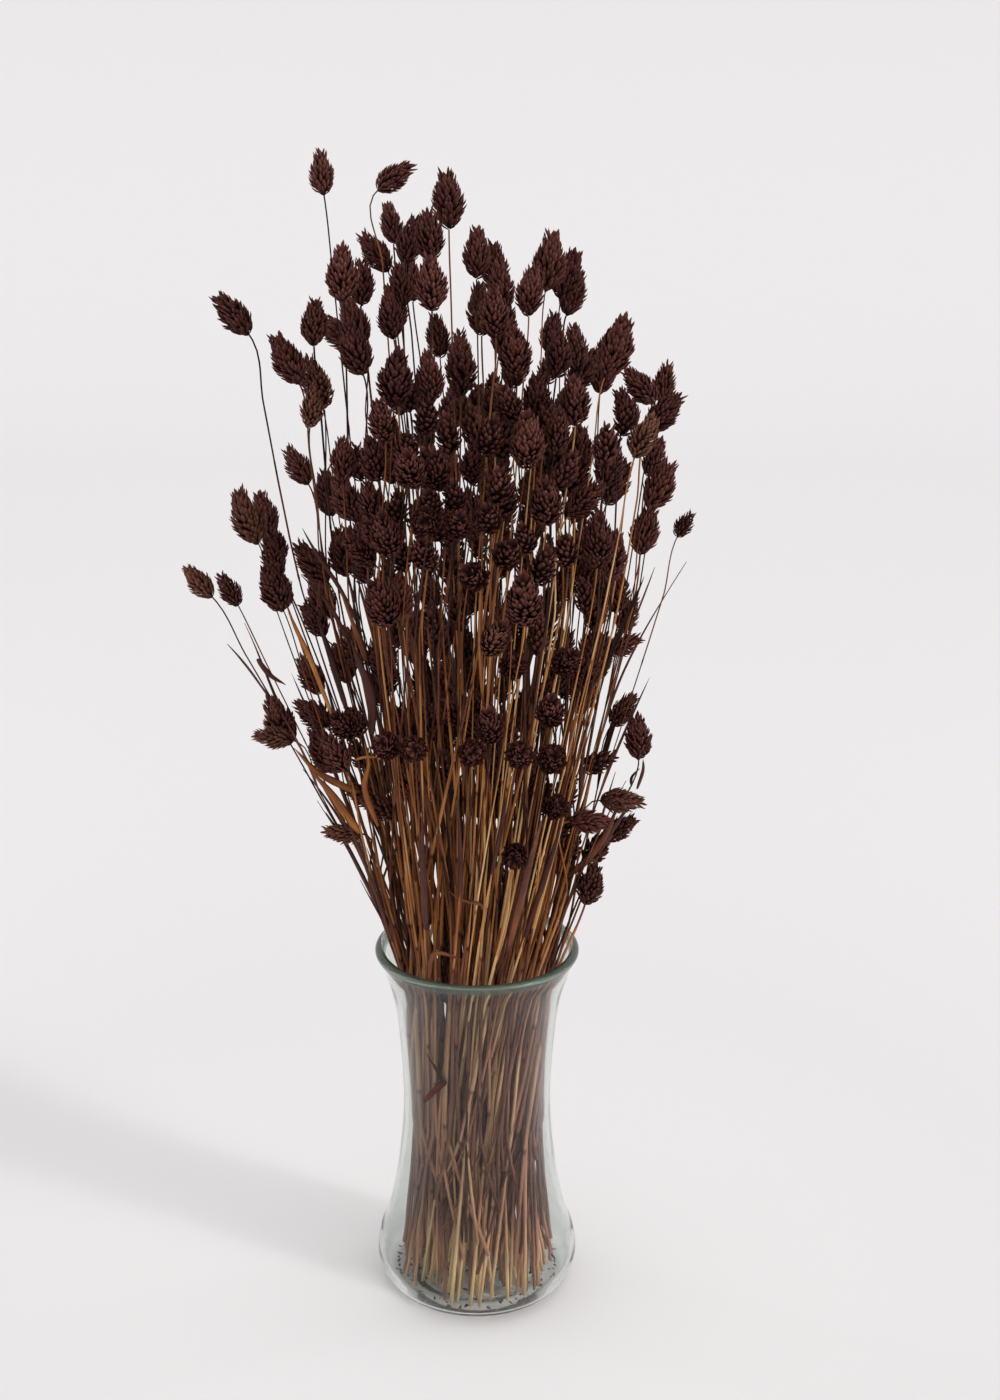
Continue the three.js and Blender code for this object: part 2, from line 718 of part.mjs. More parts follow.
// Vase outline: outside from the foot up, over the bead, and down the inside to the floor
function vaseOutline() {
  const outside = [new THREE.Vector2(0, 0), new THREE.Vector2(FOOT_RADIUS, 0)];
  for (const degrees of HEEL_TURNS) {
    const turn = THREE.MathUtils.degToRad(degrees);
    const radius = FOOT_RADIUS + HEEL_RADIUS * Math.sin(turn);
    outside.push(new THREE.Vector2(radius, BULGE_HEIGHT * (1 - Math.cos(turn))));
  }
  for (const [radius, z] of SIDE_OUTLINE) outside.push(new THREE.Vector2(radius, z));
  const beadCentre = new THREE.Vector2(RIM_RADIUS - BEAD_RADIUS, VASE_HEIGHT - BEAD_RADIUS);
  const bead = BEAD_TURNS.map((degrees) => {
    const turn = THREE.MathUtils.degToRad(degrees);
    return new THREE.Vector2(Math.cos(turn), Math.sin(turn)).multiplyScalar(BEAD_RADIUS).add(beadCentre);
  });
  const inside = SIDE_OUTLINE.toReversed().map(([radius, z]) => new THREE.Vector2(radius - WALL, z));
  inside.push(new THREE.Vector2(BULGE_RADIUS - WALL, BULGE_HEIGHT));
  inside.push(new THREE.Vector2(...INNER_HEEL));
  inside.push(new THREE.Vector2(INNER_FLOOR_RADIUS, FLOOR));
  inside.push(new THREE.Vector2(0, FLOOR));
  return [...outside, ...bead, ...inside];
}

function vase() {
  const geometry = new THREE.LatheGeometry(vaseOutline(), VASE_SIDES).rotateX(Math.PI / 2);
  const glass = new THREE.MeshStandardMaterial({
    color: 0xc9d3cc,
    roughness: 0.05,
    metalness: 0,
    transparent: true,
    opacity: 0.35,
  });
  const mesh = new THREE.Mesh(geometry, glass);
  mesh.name = "vase";
  return mesh;
}

function sprigs() {
  const heads = plannedHeads();
  shareOut(heads, heads.map((head, i) => i), SPRIGS, 0);
  lineUp(heads);
  const stems = plannedStems(heads);
  gatherSprigs(heads, stems);
  ease(heads, stems);
  const solids = Array.from({ length: SPRIGS }, () => []);
  heads.forEach((head, i) => solids[head.sprig].push(solidOf(stemAndHead(head, stems[i]))));
  for (const row of LEAVES) {
    const turn = THREE.MathUtils.degToRad(row[0]);
    const outward = new THREE.Vector3(Math.cos(turn), Math.sin(turn), 0);
    const i = outermost(stems, outward, row[1]);
    solids[heads[i].sprig].push(solidOf(leaf(stems[i], outward, row)));
  }
  const dried = new THREE.MeshStandardMaterial({ color: 0x4a2a24, roughness: 0.85, metalness: 0 });
  return solids.map((members, s) => {
    const joined = members.reduce((whole, part) => whole.add(part));
    const mesh = new THREE.Mesh(geometryOf(joined), dried);
    mesh.name = "phalaris_sprig_" + String(s + 1).padStart(2, "0");
    return mesh;
  });
}

const driedPhalarisInVase = new THREE.Group();
driedPhalarisInVase.add(vase(), ...sprigs());

export default driedPhalarisInVase;
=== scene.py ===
# %% [markdown]
# # Dried phalaris grass in a glass vase
# Phalaris is canary grass. Each straw ends in one egg-shaped head, packed with pointed scales, and
# here the heads are dyed a dark burgundy. The bunch stands in a waisted clear glass vase.
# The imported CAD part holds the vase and 56 sprigs of plain stems and coarse heads. This script
# keeps their places and sizes and gives every stem, head, leaf and the glass its real surface.

# %% Load the frame
import bpy
import numpy as np
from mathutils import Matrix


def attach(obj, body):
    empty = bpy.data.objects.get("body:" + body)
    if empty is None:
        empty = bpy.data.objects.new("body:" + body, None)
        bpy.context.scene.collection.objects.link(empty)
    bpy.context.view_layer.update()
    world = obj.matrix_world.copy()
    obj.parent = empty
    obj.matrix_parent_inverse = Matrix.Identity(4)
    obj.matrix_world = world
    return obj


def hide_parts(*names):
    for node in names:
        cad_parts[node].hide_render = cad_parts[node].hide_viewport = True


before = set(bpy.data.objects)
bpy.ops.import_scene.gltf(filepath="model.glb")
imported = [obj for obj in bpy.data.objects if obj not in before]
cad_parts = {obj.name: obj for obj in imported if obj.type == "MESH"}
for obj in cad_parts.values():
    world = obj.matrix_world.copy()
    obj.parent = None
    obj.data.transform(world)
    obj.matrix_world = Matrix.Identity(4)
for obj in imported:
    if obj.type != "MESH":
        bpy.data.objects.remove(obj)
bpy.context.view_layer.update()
MM = 0.001

# %% [markdown]
# ## The camera
# The photograph looks a little down on the bunch. A lens that is long for its distance keeps the
# rim's ellipse flat and the vase's sides nearly upright. The small shift puts the vase left of the
# middle, as in the photograph, without turning the camera, so upright things stay upright.

# %% Camera
PHOTO_WIDTH = 1000
PHOTO_HEIGHT = 1400
EYE = np.array([0.0, -930.0, 634.0])
CAMERA_PITCH = 17.4
FOCAL_PIXELS = 1880
AXIS_PIXEL = 477
SENSOR = 36

camera = bpy.data.objects.new("camera", bpy.data.cameras.new("camera"))
bpy.context.scene.collection.objects.link(camera)
camera.location = EYE * MM
camera.rotation_euler = np.radians([90 - CAMERA_PITCH, 0, 0])
camera.data.sensor_width = SENSOR
camera.data.lens = FOCAL_PIXELS * SENSOR / PHOTO_HEIGHT
camera.data.shift_x = (PHOTO_WIDTH / 2 - AXIS_PIXEL) / PHOTO_HEIGHT
bpy.context.scene.camera = camera
print("camera lens", round(camera.data.lens, 1), "mm")

# %% [markdown]
# ## The planting plan
# A hand-tied bunch opens like a sheaf: narrow in the neck of the vase, wide above, with a slow turn
# from bottom to top. The CAD part plants its stems by such a rule, from the same named values, and
# scene.py works the plan out again, so that every fine stem lies where its coarse one does.
# Heads that the photograph shows are listed: across and up on the upright plane through the vase's
# axis, depth behind it, lean to the right in degrees, length, and nod to the viewer.

# %% Heads that the photograph shows, in millimetres and degrees
TOP_HEADS = [
    [-71, 607, 0, -8, 22, 0], [-39, 605, -10, 50, 22, 0], [-46, 584, 25, -3, 21, 0],
    [-16, 595, 0, 0, 29, 5], [-35, 576, 10, 8, 25, 5], [-24, 578, -30, -5, 26, 10],
    [-23, 555, -70, 0, 27, 15], [-63, 560, -45, -4, 28, 10], [-54, 556, 15, 4, 24, 0],
    [-39, 554, -10, -3, 22, 0], [-44, 543, 30, -8, 26, 5], [0, 570, 15, 0, 26, 0],
    [7, 541, -50, -6, 26, 15], [13, 554, -10, -6, 24, 0], [26, 552, -30, 0, 25, 5],
    [36, 566, 0, 10, 30, 0], [45, 560, 30, 13, 27, 0], [19, 522, -55, -4, 28, 15],
    [39, 521, -25, 8, 24, 5], [47, 525, 15, -2, 24, 0], [49, 499, -50, 0, 27, 10],
]
LEFT_HEADS = [
    [-120, 541, -20, -34, 26, 5], [-95, 519, -20, -25, 28, 5], [-80, 537, -30, 0, 24, 5],
    [-68, 531, 15, -50, 26, 0], [-61, 524, -45, -18, 28, 10], [-81, 509, 15, -15, 26, 0],
    [-81, 495, -35, 10, 21, 5], [-39, 509, -75, 4, 30, 15], [-91, 466, 0, -30, 23, 0],
    [-67, 450, -35, -22, 27, 5], [-53, 448, -45, -14, 24, 5], [-117, 440, -25, -22, 30, 5],
    [-108, 441, 20, -18, 26, 0], [-142, 406, 0, -42, 22, 0], [-127, 403, -10, -25, 20, 0],
    [-102, 420, -10, -12, 22, 0], [-105, 403, -45, -20, 27, 5], [-96, 404, 15, -22, 24, 0],
    [-89, 417, -10, -38, 27, 0], [-89, 388, 15, -28, 23, 0], [-72, 422, 0, -14, 27, 0],
    [-59, 422, -60, -42, 22, 10], [-89, 357, 0, -32, 24, 0], [-104, 333, -10, -27, 29, 0],
    [-109, 322, -30, -78, 21, 0], [-90, 335, -20, -50, 22, 0], [-85, 316, 5, -26, 30, 0],
    [-73, 329, -55, -20, 24, 45], [-73, 314, -45, -25, 24, 10], [-73, 270, -20, -88, 21, 0],
    [-72, 364, 20, -14, 25, 0], [-63, 332, -30, -10, 22, 20],
]
FRONT_HEADS = [
    [-42, 489, -75, -4, 24, 15], [-48, 469, -60, -10, 25, 15], [-33, 465, -95, -6, 26, 25],
    [-22, 463, -85, 4, 25, 25], [-24, 437, -118, -10, 25, 65], [-11, 435, -112, 10, 24, 60],
    [-44, 430, -85, -6, 28, 20], [-46, 396, -80, -10, 29, 15], [-47, 317, -95, -25, 25, 60],
    [-35, 316, -102, 0, 24, 65], [15, 497, -60, -18, 24, 20], [29, 500, -40, 4, 26, 5],
    [26, 479, -75, 6, 31, 15], [-3, 467, -60, 4, 22, 15], [36, 448, -80, 0, 29, 20],
    [56, 449, -55, 40, 25, 10], [64, 428, -55, 2, 28, 10], [22, 396, -112, -2, 33, 25],
    [13, 375, -100, 20, 24, 30], [20, 362, -80, 10, 25, 55], [46, 363, -78, 20, 25, 50],
    [37, 336, -78, 6, 26, 40], [7, 329, -90, -4, 25, 25], [-1, 313, -98, 0, 25, 70],
    [27, 312, -92, 10, 25, 65], [42, 311, -75, 15, 27, 60], [41, 284, -60, 30, 24, 55],
    [19, 257, -64, 0, 24, 75], [60, 277, -25, 88, 23, 0], [-8, 515, -25, 2, 28, 5],
]
RIGHT_HEADS = [
    [69, 525, -50, 20, 33, 10], [81, 506, -15, -40, 24, 0], [92, 507, 25, 4, 22, 0],
    [73, 494, -5, -20, 23, 0], [91, 493, -40, 32, 25, 10], [82, 481, -55, 18, 24, 5],
    [89, 470, 15, 20, 22, 0], [94, 456, -20, 27, 28, 0], [85, 433, -10, 6, 27, 0],
    [107, 436, 0, 25, 16, 0], [55, 474, -10, 3, 28, 5], [67, 458, 25, 20, 27, 0],
    [71, 403, 0, 5, 26, 0], [80, 388, 15, 18, 21, 0], [71, 373, -15, 66, 21, 0],
    [59, 347, 0, 20, 25, 0], [77, 337, 10, 36, 22, 0], [85, 322, -10, -2, 26, 0],
    [82, 287, -20, 88, 24, 0], [78, 271, 5, 53, 23, 0], [64, 239, -20, 15, 26, 0],
]
SEEN_HEADS = np.array(TOP_HEADS + LEFT_HEADS + FRONT_HEADS + RIGHT_HEADS, float)
print("heads seen in the photograph:", len(SEEN_HEADS))

# %% [markdown]
# The rest of the heads stand behind and inside, where a rule places them. Everything random is a
# draw from two whole numbers, so each run gives the same bunch.

# %% Heads, with their axes and sizes
HEAD_SIZE = 1.08
HEAD_SLENDER = 0.215
HEAD_RADIUS_MIN = 4
HEAD_RADIUS_MAX = 7
FACE_OUT = 0.25
FACE_OUT_DEPTH = 300
BACK_HEADS = 43
BACK_TURN = 0.618034
BACK_SIDE = 22
BACK_LOWEST = 262
BACK_HIGHEST = 572
BACK_SLIM_RIGHT = 0.3
BACK_REACH_HEIGHTS = [262, 330, 410, 480, 540, 580]
BACK_REACH = [66, 104, 130, 116, 84, 56]
BACK_INWARD = (0.5, 0.95)
BACK_FALL = (0.15, 0.75)
BACK_LENGTH = (22, 29)
BACK_FIRM = 0.5
INNER_HEADS = 31
INNER_LOWEST = 300
INNER_HIGHEST = 545
INNER_REACH = (0.12, 0.72)
INNER_FALL = 0.3
INNER_LENGTH = (22, 28)
INNER_FIRM = 0.2


def draw(index, kind):
    """Repeatable number from 0 to 1: fraction of 43758.5453 sin(12.9898 index + 78.233 kind + 4.1)."""
    turned = np.sin(np.asarray(index, float) * 12.9898 + kind * 78.233 + 4.1) * 43758.5453
    return turned - np.floor(turned)


def along(xs, ys, x):
    """Value at x on straight lines through the points (xs, ys), carried on past both ends."""
    xs, ys = np.asarray(xs, float), np.asarray(ys, float)
    i = np.searchsorted(xs[1:-1], x) + 1
    return ys[i - 1] + (ys[i] - ys[i - 1]) * (x - xs[i - 1]) / (xs[i] - xs[i - 1])


def mix(low, high, share):
    """The value a share of the way from low to high."""
    return low + (high - low) * share


def unit(vectors):
    """Each row divided by its length."""
    return vectors / np.linalg.norm(vectors, axis=-1, keepdims=True)


def seen_heads():
    """Centres moved along their lines of sight to their depths; axes that lean, nod and face out."""
    across, up, depth, lean, length, nod = SEEN_HEADS.T
    on_plane = np.stack([across, 0 * across, up], 1)
    centre = EYE + (on_plane - EYE) * (1 - depth / EYE[1])[:, None]
    lean, nod = np.radians(lean), np.radians(nod)
    facing = FACE_OUT * np.sin(np.pi * depth / FACE_OUT_DEPTH) - np.sin(nod)
    axis = unit(np.stack([np.sin(lean) * np.cos(nod), facing, np.cos(lean) * np.cos(nod)], 1))
    return centre, axis, length, np.ones(len(length))


def back_heads():
    """Heads by rule: they turn about the axis by the golden share, rise evenly, and lean outwards."""
    j = np.arange(BACK_HEADS)
    turn = np.radians(mix(BACK_SIDE, 180 - BACK_SIDE, ((j * BACK_TURN) % 1 + 0.03 * draw(j, 1)) % 1))
    height = mix(BACK_LOWEST, BACK_HIGHEST, (j + 0.5) / BACK_HEADS)
    every_third = j % 3 == 2
    inward = np.where(every_third, *BACK_INWARD)
    slimmer = 1 - BACK_SLIM_RIGHT * np.maximum(0, np.cos(turn))
    reach = along(BACK_REACH_HEIGHTS, BACK_REACH, height) * slimmer * (inward - 0.12 * draw(j, 2))
    fall = mix(*BACK_FALL, draw(j, 3)) * np.where(every_third, 0.4, 1)
    centre = np.stack([np.cos(turn) * reach, np.sin(turn) * reach, height], 1)
    axis = unit(np.stack([np.cos(turn) * fall, np.sin(turn) * fall, np.ones(BACK_HEADS)], 1))
    return centre, axis, mix(*BACK_LENGTH, draw(j, 4)), np.full(BACK_HEADS, BACK_FIRM)


def inner_heads():
    """Heads by rule between the others: all round the axis, nearly upright, and nearer to it."""
    j = np.arange(INNER_HEADS)
    turn = 2 * np.pi * ((j * BACK_TURN) % 1)
    height = mix(INNER_LOWEST, INNER_HIGHEST, (j + 0.5) / INNER_HEADS)
    reach = along(BACK_REACH_HEIGHTS, BACK_REACH, height) * mix(*INNER_REACH, np.sqrt(draw(j, 31)))
    fall = INNER_FALL * draw(j, 32)
    centre = np.stack([np.cos(turn) * reach, np.sin(turn) * reach, height], 1)
    axis = unit(np.stack([np.cos(turn) * fall, np.sin(turn) * fall, np.ones(INNER_HEADS)], 1))
    return centre, axis, mix(*INNER_LENGTH, draw(j, 33)), np.full(INNER_HEADS, INNER_FIRM)


all_heads = zip(seen_heads(), back_heads(), inner_heads())
centre, head_axis, head_length, head_firm = map(np.concatenate, all_heads)
head_length = head_length * HEAD_SIZE
head_radius = np.clip(head_length * HEAD_SLENDER, HEAD_RADIUS_MIN, HEAD_RADIUS_MAX)
head_base = centre - head_axis * head_length[:, None] / 2
HEADS = len(head_base)
print("heads in all:", HEADS)

# %% [markdown]
# ### From the heads down to the neck
# Each head is carried down the opening sheaf to the neck. There the crowding is evened out, and
# neighbours are gathered into sprigs by halving the bunch again and again, across its longer side.

# %% Places in the neck, and the sprigs
FLOOR = 6
STEM_GAP = 0.3
BEND_HEIGHTS = np.array([FLOOR + STEM_GAP, 105, 173, 248, 400])
BEND_SPREAD = np.array([40, 36.5, 40, 63, 137])
BEND_TWIST = np.radians([-16.0, 0, 14, 27, 39])
NECK = 1
RIM = 3
SPRIGS = 56


def turned(points, angles):
    """Level points turned about the vase's axis: x' = x cos a - y sin a, y' = x sin a + y cos a."""
    c, s = np.cos(angles), np.sin(angles)
    x, y = points[..., 0], points[..., 1]
    return np.stack([x * c - y * s, x * s + y * c], -1)


spread_at_base = along(BEND_HEIGHTS, BEND_SPREAD, head_base[:, 2])
twist_at_base = along(BEND_HEIGHTS, BEND_TWIST, head_base[:, 2])
neck = turned(head_base[:, :2], -twist_at_base) * (BEND_SPREAD[NECK] / spread_at_base)[:, None]
order = np.argsort(np.linalg.norm(neck, axis=1), kind="stable")
even_reach = np.empty(HEADS)
even_reach[order] = BEND_SPREAD[NECK] * np.sqrt((np.arange(HEADS) + 0.5) / HEADS)
neck = unit(neck) * even_reach[:, None]


def share_out(members, sprigs, first, sprig_of):
    """Halves the members across their longer side until each share is one sprig."""
    if sprigs == 1:
        sprig_of[members] = first
        return
    side = int(np.ptp(neck[members, 0]) <= np.ptp(neck[members, 1]))
    members = members[np.argsort(neck[members, side], kind="stable")]
    left = sprigs // 2
    cut = int(np.floor(len(members) * left / sprigs + 0.5))
    share_out(members[:cut], left, first, sprig_of)
    share_out(members[cut:], sprigs - left, first + left, sprig_of)


sprig_of = np.zeros(HEADS, int)
share_out(np.arange(HEADS), SPRIGS, 0, sprig_of)
way = np.zeros((HEADS, 2))
place = np.zeros(HEADS)
for s in range(SPRIGS):
    members = np.flatnonzero(sprig_of == s)
    middle = neck[members].mean(0)
    far = members[np.argmax(np.linalg.norm(neck[members] - middle, axis=1))]
    way[members] = unit(neck[far] - middle)
    row = members[np.argsort(neck[members] @ way[far], kind="stable")]
    place[row] = np.arange(len(row)) - (len(row) - 1) / 2
print("sprigs:", SPRIGS, "of", np.bincount(np.bincount(sprig_of)).tolist(), "stems")

# %% [markdown]
# ### Planned stems, eased apart
# A stem is a row of points, one at each bend height and the last at the base of its head. The plan
# is then eased: whatever is too near is pushed apart a little, the shift is spread along the stem,
# and the sprigs are gathered in the neck again, over and over, until nothing touches.

# %% The plan of the stems
SHORTEST_TOP = 22
HEAD_PULL = 1.6
FOOT_STRAY = 16
BENDS = len(BEND_HEIGHTS)

bends = (BEND_HEIGHTS[None, :] < head_base[:, 2:] - SHORTEST_TOP).sum(1)
off = head_base[:, :2] - turned(neck * (spread_at_base / BEND_SPREAD[NECK])[:, None], twist_at_base)
stem_xy = np.zeros((HEADS, BENDS + 1, 2))
stem_z = np.zeros((HEADS, BENDS + 1))
everyone = np.arange(HEADS)
for k in range(BENDS):
    free = (BEND_HEIGHTS[k] - BEND_HEIGHTS[RIM]) / (head_base[:, 2] - BEND_HEIGHTS[RIM])
    stem_xy[:, k] = turned(neck * BEND_SPREAD[k] / BEND_SPREAD[NECK], BEND_TWIST[k])
    stem_xy[:, k] += off * np.clip(free, 0, 1)[:, None] ** HEAD_PULL
    stem_z[:, k] = BEND_HEIGHTS[k]
stray = np.stack([draw(everyone, 23), draw(everyone, 24)], 1)
stem_xy[:, 0] += FOOT_STRAY * (2 * stray - 1)
stem_xy[everyone, bends] = head_base[:, :2]
stem_z[everyone, bends] = head_base[:, 2]

# %% Easing
STEM_RADIUS_LOW = 1.4
STEM_RADIUS_TOP = 0.75
STEM_TAPER = 320
SPRIG_STEP = 1.8
ROOM_IN_VASE = np.array([44.5, 37.2, 39.3])
EASE_STEPS = 260
EASE = 0.45
STEM_ROOM = 1.22
STEM_CLEAR = 0.4
HEAD_CLEAR = 0.9
SMOOTH = 0.22
RECALL = 0.02
QUIET_STEPS = 70
HEAD_YIELDS = 0.35
BALL_AT = np.array([0.2, 0.5, 0.82])
BALL_RADIUS = np.array([1, 1.26, 0.98])


def stem_radius(height):
    """Radius of a CAD stem, thinning evenly above the neck."""
    share = np.clip((height - BEND_HEIGHTS[NECK]) / STEM_TAPER, 0, 1)
    return mix(STEM_RADIUS_LOW, STEM_RADIUS_TOP, share)


def part_stems(push):
    """Pushes apart stems that come nearer than they should between two bend heights."""
    for k in range(BENDS):
        i = np.flatnonzero(bends > k)
        low, high, top = stem_xy[i, k], stem_xy[i, k + 1], stem_z[i, k + 1]
        shared_top = np.minimum(top[:, None], top[None, :])
        share = (shared_top - BEND_HEIGHTS[k]) / (top - BEND_HEIGHTS[k])[:, None]
        ends = low[:, None] + share[..., None] * (high - low)[:, None]
        start = low[:, None] - low[None, :]
        run = ends - ends.transpose(1, 0, 2) - start
        t = np.clip(-(start * run).sum(-1) / ((run * run).sum(-1) + 1e-12), 0, 1)
        between = start + t[..., None] * run
        distance = np.hypot(between[..., 0], between[..., 1]) + 1e-9
        need = STEM_ROOM * (2 * stem_radius(BEND_HEIGHTS[k]) + STEM_CLEAR)
        kin = (sprig_of[i][:, None] == sprig_of[i][None, :]) & (k <= NECK)
        near = (distance < need) & ~kin & ~np.eye(len(i), dtype=bool)
        by = np.where(near, (need - distance) / (2 * distance), 0)[..., None] * between
        push[i, k] += ((1 - t * share)[..., None] * by).sum(1)
        push[i, k + 1] += ((t * share)[..., None] * by).sum(1)


def part_heads(push):
    """Treats each head as three balls along its axis, and parts them from stems and from each other."""
    base = np.concatenate([stem_xy[everyone, bends], stem_z[everyone, bends][:, None]], 1)
    reach = head_length[:, None] * BALL_AT
    ball = (base[:, None] + head_axis[:, None] * reach[..., None]).reshape(-1, 3)
    radius = (head_radius[:, None] * BALL_RADIUS).ravel()
    owner = np.repeat(everyone, len(BALL_AT))
    z = ball[:, 2][:, None]
    k = np.minimum(np.searchsorted(BEND_HEIGHTS[1:], z), bends[None, :] - 1)
    low, high = stem_xy[everyone, k], stem_xy[everyone, k + 1]
    z_low, z_high = stem_z[everyone, k], stem_z[everyone, k + 1]
    slope = (high - low) / (z_high - z_low)[..., None]
    t = (z - z_low) / (z_high - z_low)
    gap = ball[:, None, :2] - (low + t[..., None] * (high - low))
    lean = (gap * slope).sum(-1) / (1 + (slope * slope).sum(-1))
    gap = gap - lean[..., None] * slope
    distance = np.sqrt((gap * gap).sum(-1) + lean * lean) + 1e-9
    need = (radius + stem_radius(ball[:, 2]) + HEAD_CLEAR)[:, None]
    near = (distance < need) & (owner[:, None] != everyone) & (z <= stem_z[everyone, bends])
    b, j = np.nonzero(near)
    by = ((need - distance) / distance)[b, j][:, None] * gap[b, j]
    np.add.at(push, (owner[b], bends[owner[b]]), HEAD_YIELDS * by)
    by *= HEAD_YIELDS - 1
    np.add.at(push, (j, k[b, j]), (1 - t[b, j])[:, None] * by)
    np.add.at(push, (j, k[b, j] + 1), t[b, j][:, None] * by)
    a, c = np.nonzero(np.abs(z - z.T) < (need := radius[:, None] + radius + HEAD_CLEAR))
    later = (a < c) & (owner[a] != owner[c])
    a, c = a[later], c[later]
    gap = ball[a] - ball[c]
    distance = np.linalg.norm(gap, axis=1) + 1e-9
    level = np.hypot(gap[:, 0], gap[:, 1])
    by = np.maximum(need[a, c] - distance, 0) / (2 * level + 1e-6)
    np.add.at(push, (owner[a], bends[owner[a]]), gap[:, :2] * by[:, None])
    np.add.at(push, (owner[c], bends[owner[c]]), -gap[:, :2] * by[:, None])


def smooth_stems(rest):
    """Spreads each stem's shift along it and draws its head back towards its planned place."""
    shift = stem_xy - rest
    steps = np.arange(BENDS + 1)
    last = bends[:, None]
    below = shift[everyone[:, None], np.maximum(steps - 1, 0)]
    above = shift[everyone[:, None], np.minimum(steps + 1, last)]
    step = SMOOTH * ((below + above) / 2 - shift)
    stem_xy[...] += np.where((steps <= last)[..., None], step, 0)
    stem_xy[everyone, bends] -= (RECALL * head_firm)[:, None] * shift[everyone, bends]


def gather_and_keep():
    """Brings each sprig's stems side by side in the neck, and keeps every stem inside the glass."""
    count = np.bincount(sprig_of)
    for side in (0, 1):
        middle = np.bincount(sprig_of, stem_xy[:, NECK, side]) / count
        stem_xy[:, NECK, side] = middle[sprig_of] + SPRIG_STEP * place * way[:, side]
    for k, room in enumerate(ROOM_IN_VASE):
        limit = room - STEM_RADIUS_LOW - STEM_CLEAR
        reach = np.hypot(stem_xy[:, k, 0], stem_xy[:, k, 1])
        stem_xy[:, k] *= np.minimum(1, limit / reach)[:, None]


gather = np.bincount(sprig_of)
for side in (0, 1):
    middle = np.bincount(sprig_of, stem_xy[:, NECK, side]) / gather
    stem_xy[:, NECK, side] = middle[sprig_of] + SPRIG_STEP * place * way[:, side]
planned_xy = stem_xy.copy()
for step in range(EASE_STEPS):
    push = np.zeros_like(stem_xy)
    part_stems(push)
    part_heads(push)
    stem_xy += EASE * push
    if step < EASE_STEPS - QUIET_STEPS:
        smooth_stems(planned_xy)
    gather_and_keep()
stem_points = np.concatenate([stem_xy, stem_z[..., None]], 2)
print("stems eased; they end", round(float(stem_z.max()), 1), "mm up at most")

# %% [markdown]
# ### More stems inside the bunch
# The CAD part carries the stems that show and those that give the bunch its outline. Behind them
# the photograph is dark with others. Each of these lies between two neighbours of the plan, a share
# of the way from one to the other at every bend, so that it stays inside the bunch. Places are
# tried one after another, most of them near the middle, and none low down at the front, where the
# photograph shows bare straws. A place is kept if its head has room among the heads so far. They
# may press together a little, as dry heads do.
#
# In the glass such a stem is drawn towards the wall, because the photograph's stems fill the waist,
# and turned a little round the axis, so that stems cross. Many are cut short and end above the
# floor, held by the others, as the pale gaps low in the vase show.

# %% Stems between neighbours
FILL_TRIES = 4000
FILL_STEMS = 190
FILL_NEAREST = 8
FILL_SHARE = (0.3, 0.7)
FILL_STRAY = np.array([7, 7, 12])
FILL_LEAN_STRAY = 0.35
FILL_DRAWN_IN = 0.92
FILL_LENGTH = (20, 26)
FILL_MIDDLE = 0
FILL_BREADTH = 46
FILL_HIGHEST = (440, 520)
FRONT_OPEN_FROM = -25
FRONT_OPEN_BELOW = 430
FILL_CLEAR = -0.8


def head_balls(base, axis, length, radius):
    """The balls that stand for each head: their centres and radii."""
    at = base[..., None, :] + axis[..., None, :] * (length[..., None] * BALL_AT)[..., None]
    return at, radius[..., None] * BALL_RADIUS


def stem_at(i, height):
    """Where stem i is at a height: on a straight line between its bends."""
    row = stem_points[i, : bends[i] + 1]
    return np.array([np.interp(height, row[:, 2], row[:, side]) for side in (0, 1)])


n = np.arange(FILL_TRIES)
middle = stem_points[everyone, bends] + head_axis * head_length[:, None] / 2
first = (draw(n, 81) * HEADS).astype(int)
apart = np.linalg.norm(middle[first][:, None] - middle, axis=2)
rank = 1 + (draw(n, 82) * FILL_NEAREST).astype(int)
second = np.argsort(apart, axis=1, kind="stable")[n, rank]
share = mix(*FILL_SHARE, draw(n, 83))
strays = 2 * np.stack([draw(n, 84), draw(n, 85), draw(n, 86)], 1) - 1
place = mix(middle[first], middle[second], share[:, None]) + FILL_STRAY * strays
place[:, :2] *= FILL_DRAWN_IN
fill_axis = unit(head_axis[first] + head_axis[second] + FILL_LEAN_STRAY * strays)
fill_length = HEAD_SIZE * mix(*FILL_LENGTH, draw(n, 87))
fill_radius = np.clip(fill_length * HEAD_SLENDER, HEAD_RADIUS_MIN, HEAD_RADIUS_MAX)
fill_base = place - fill_axis * fill_length[:, None] / 2
wanted = draw(n, 88) < np.exp(-(((place[:, 0] - FILL_MIDDLE) / FILL_BREADTH) ** 2))
wanted &= place[:, 2] < mix(*FILL_HIGHEST, draw(n, 91))
wanted &= (place[:, 1] > FRONT_OPEN_FROM) | (place[:, 2] > FRONT_OPEN_BELOW)
ball, ball_radius = head_balls(stem_points[everyone, bends], head_axis, head_length, head_radius)
ball, ball_radius = ball.reshape(-1, 3), ball_radius.ravel()
kept = []
for i in np.flatnonzero(wanted):
    at, radius = head_balls(fill_base[i], fill_axis[i], fill_length[i], fill_radius[i])
    gap = np.linalg.norm(at[:, None] - ball, axis=2) - radius[:, None] - ball_radius
    if gap.min() > FILL_CLEAR and len(kept) < FILL_STEMS:
        kept.append(i)
        ball, ball_radius = np.concatenate([ball, at]), np.concatenate([ball_radius, radius])
kept = np.array(kept)
print("stems inside:", len(kept), "of", int(wanted.sum()), "places tried")

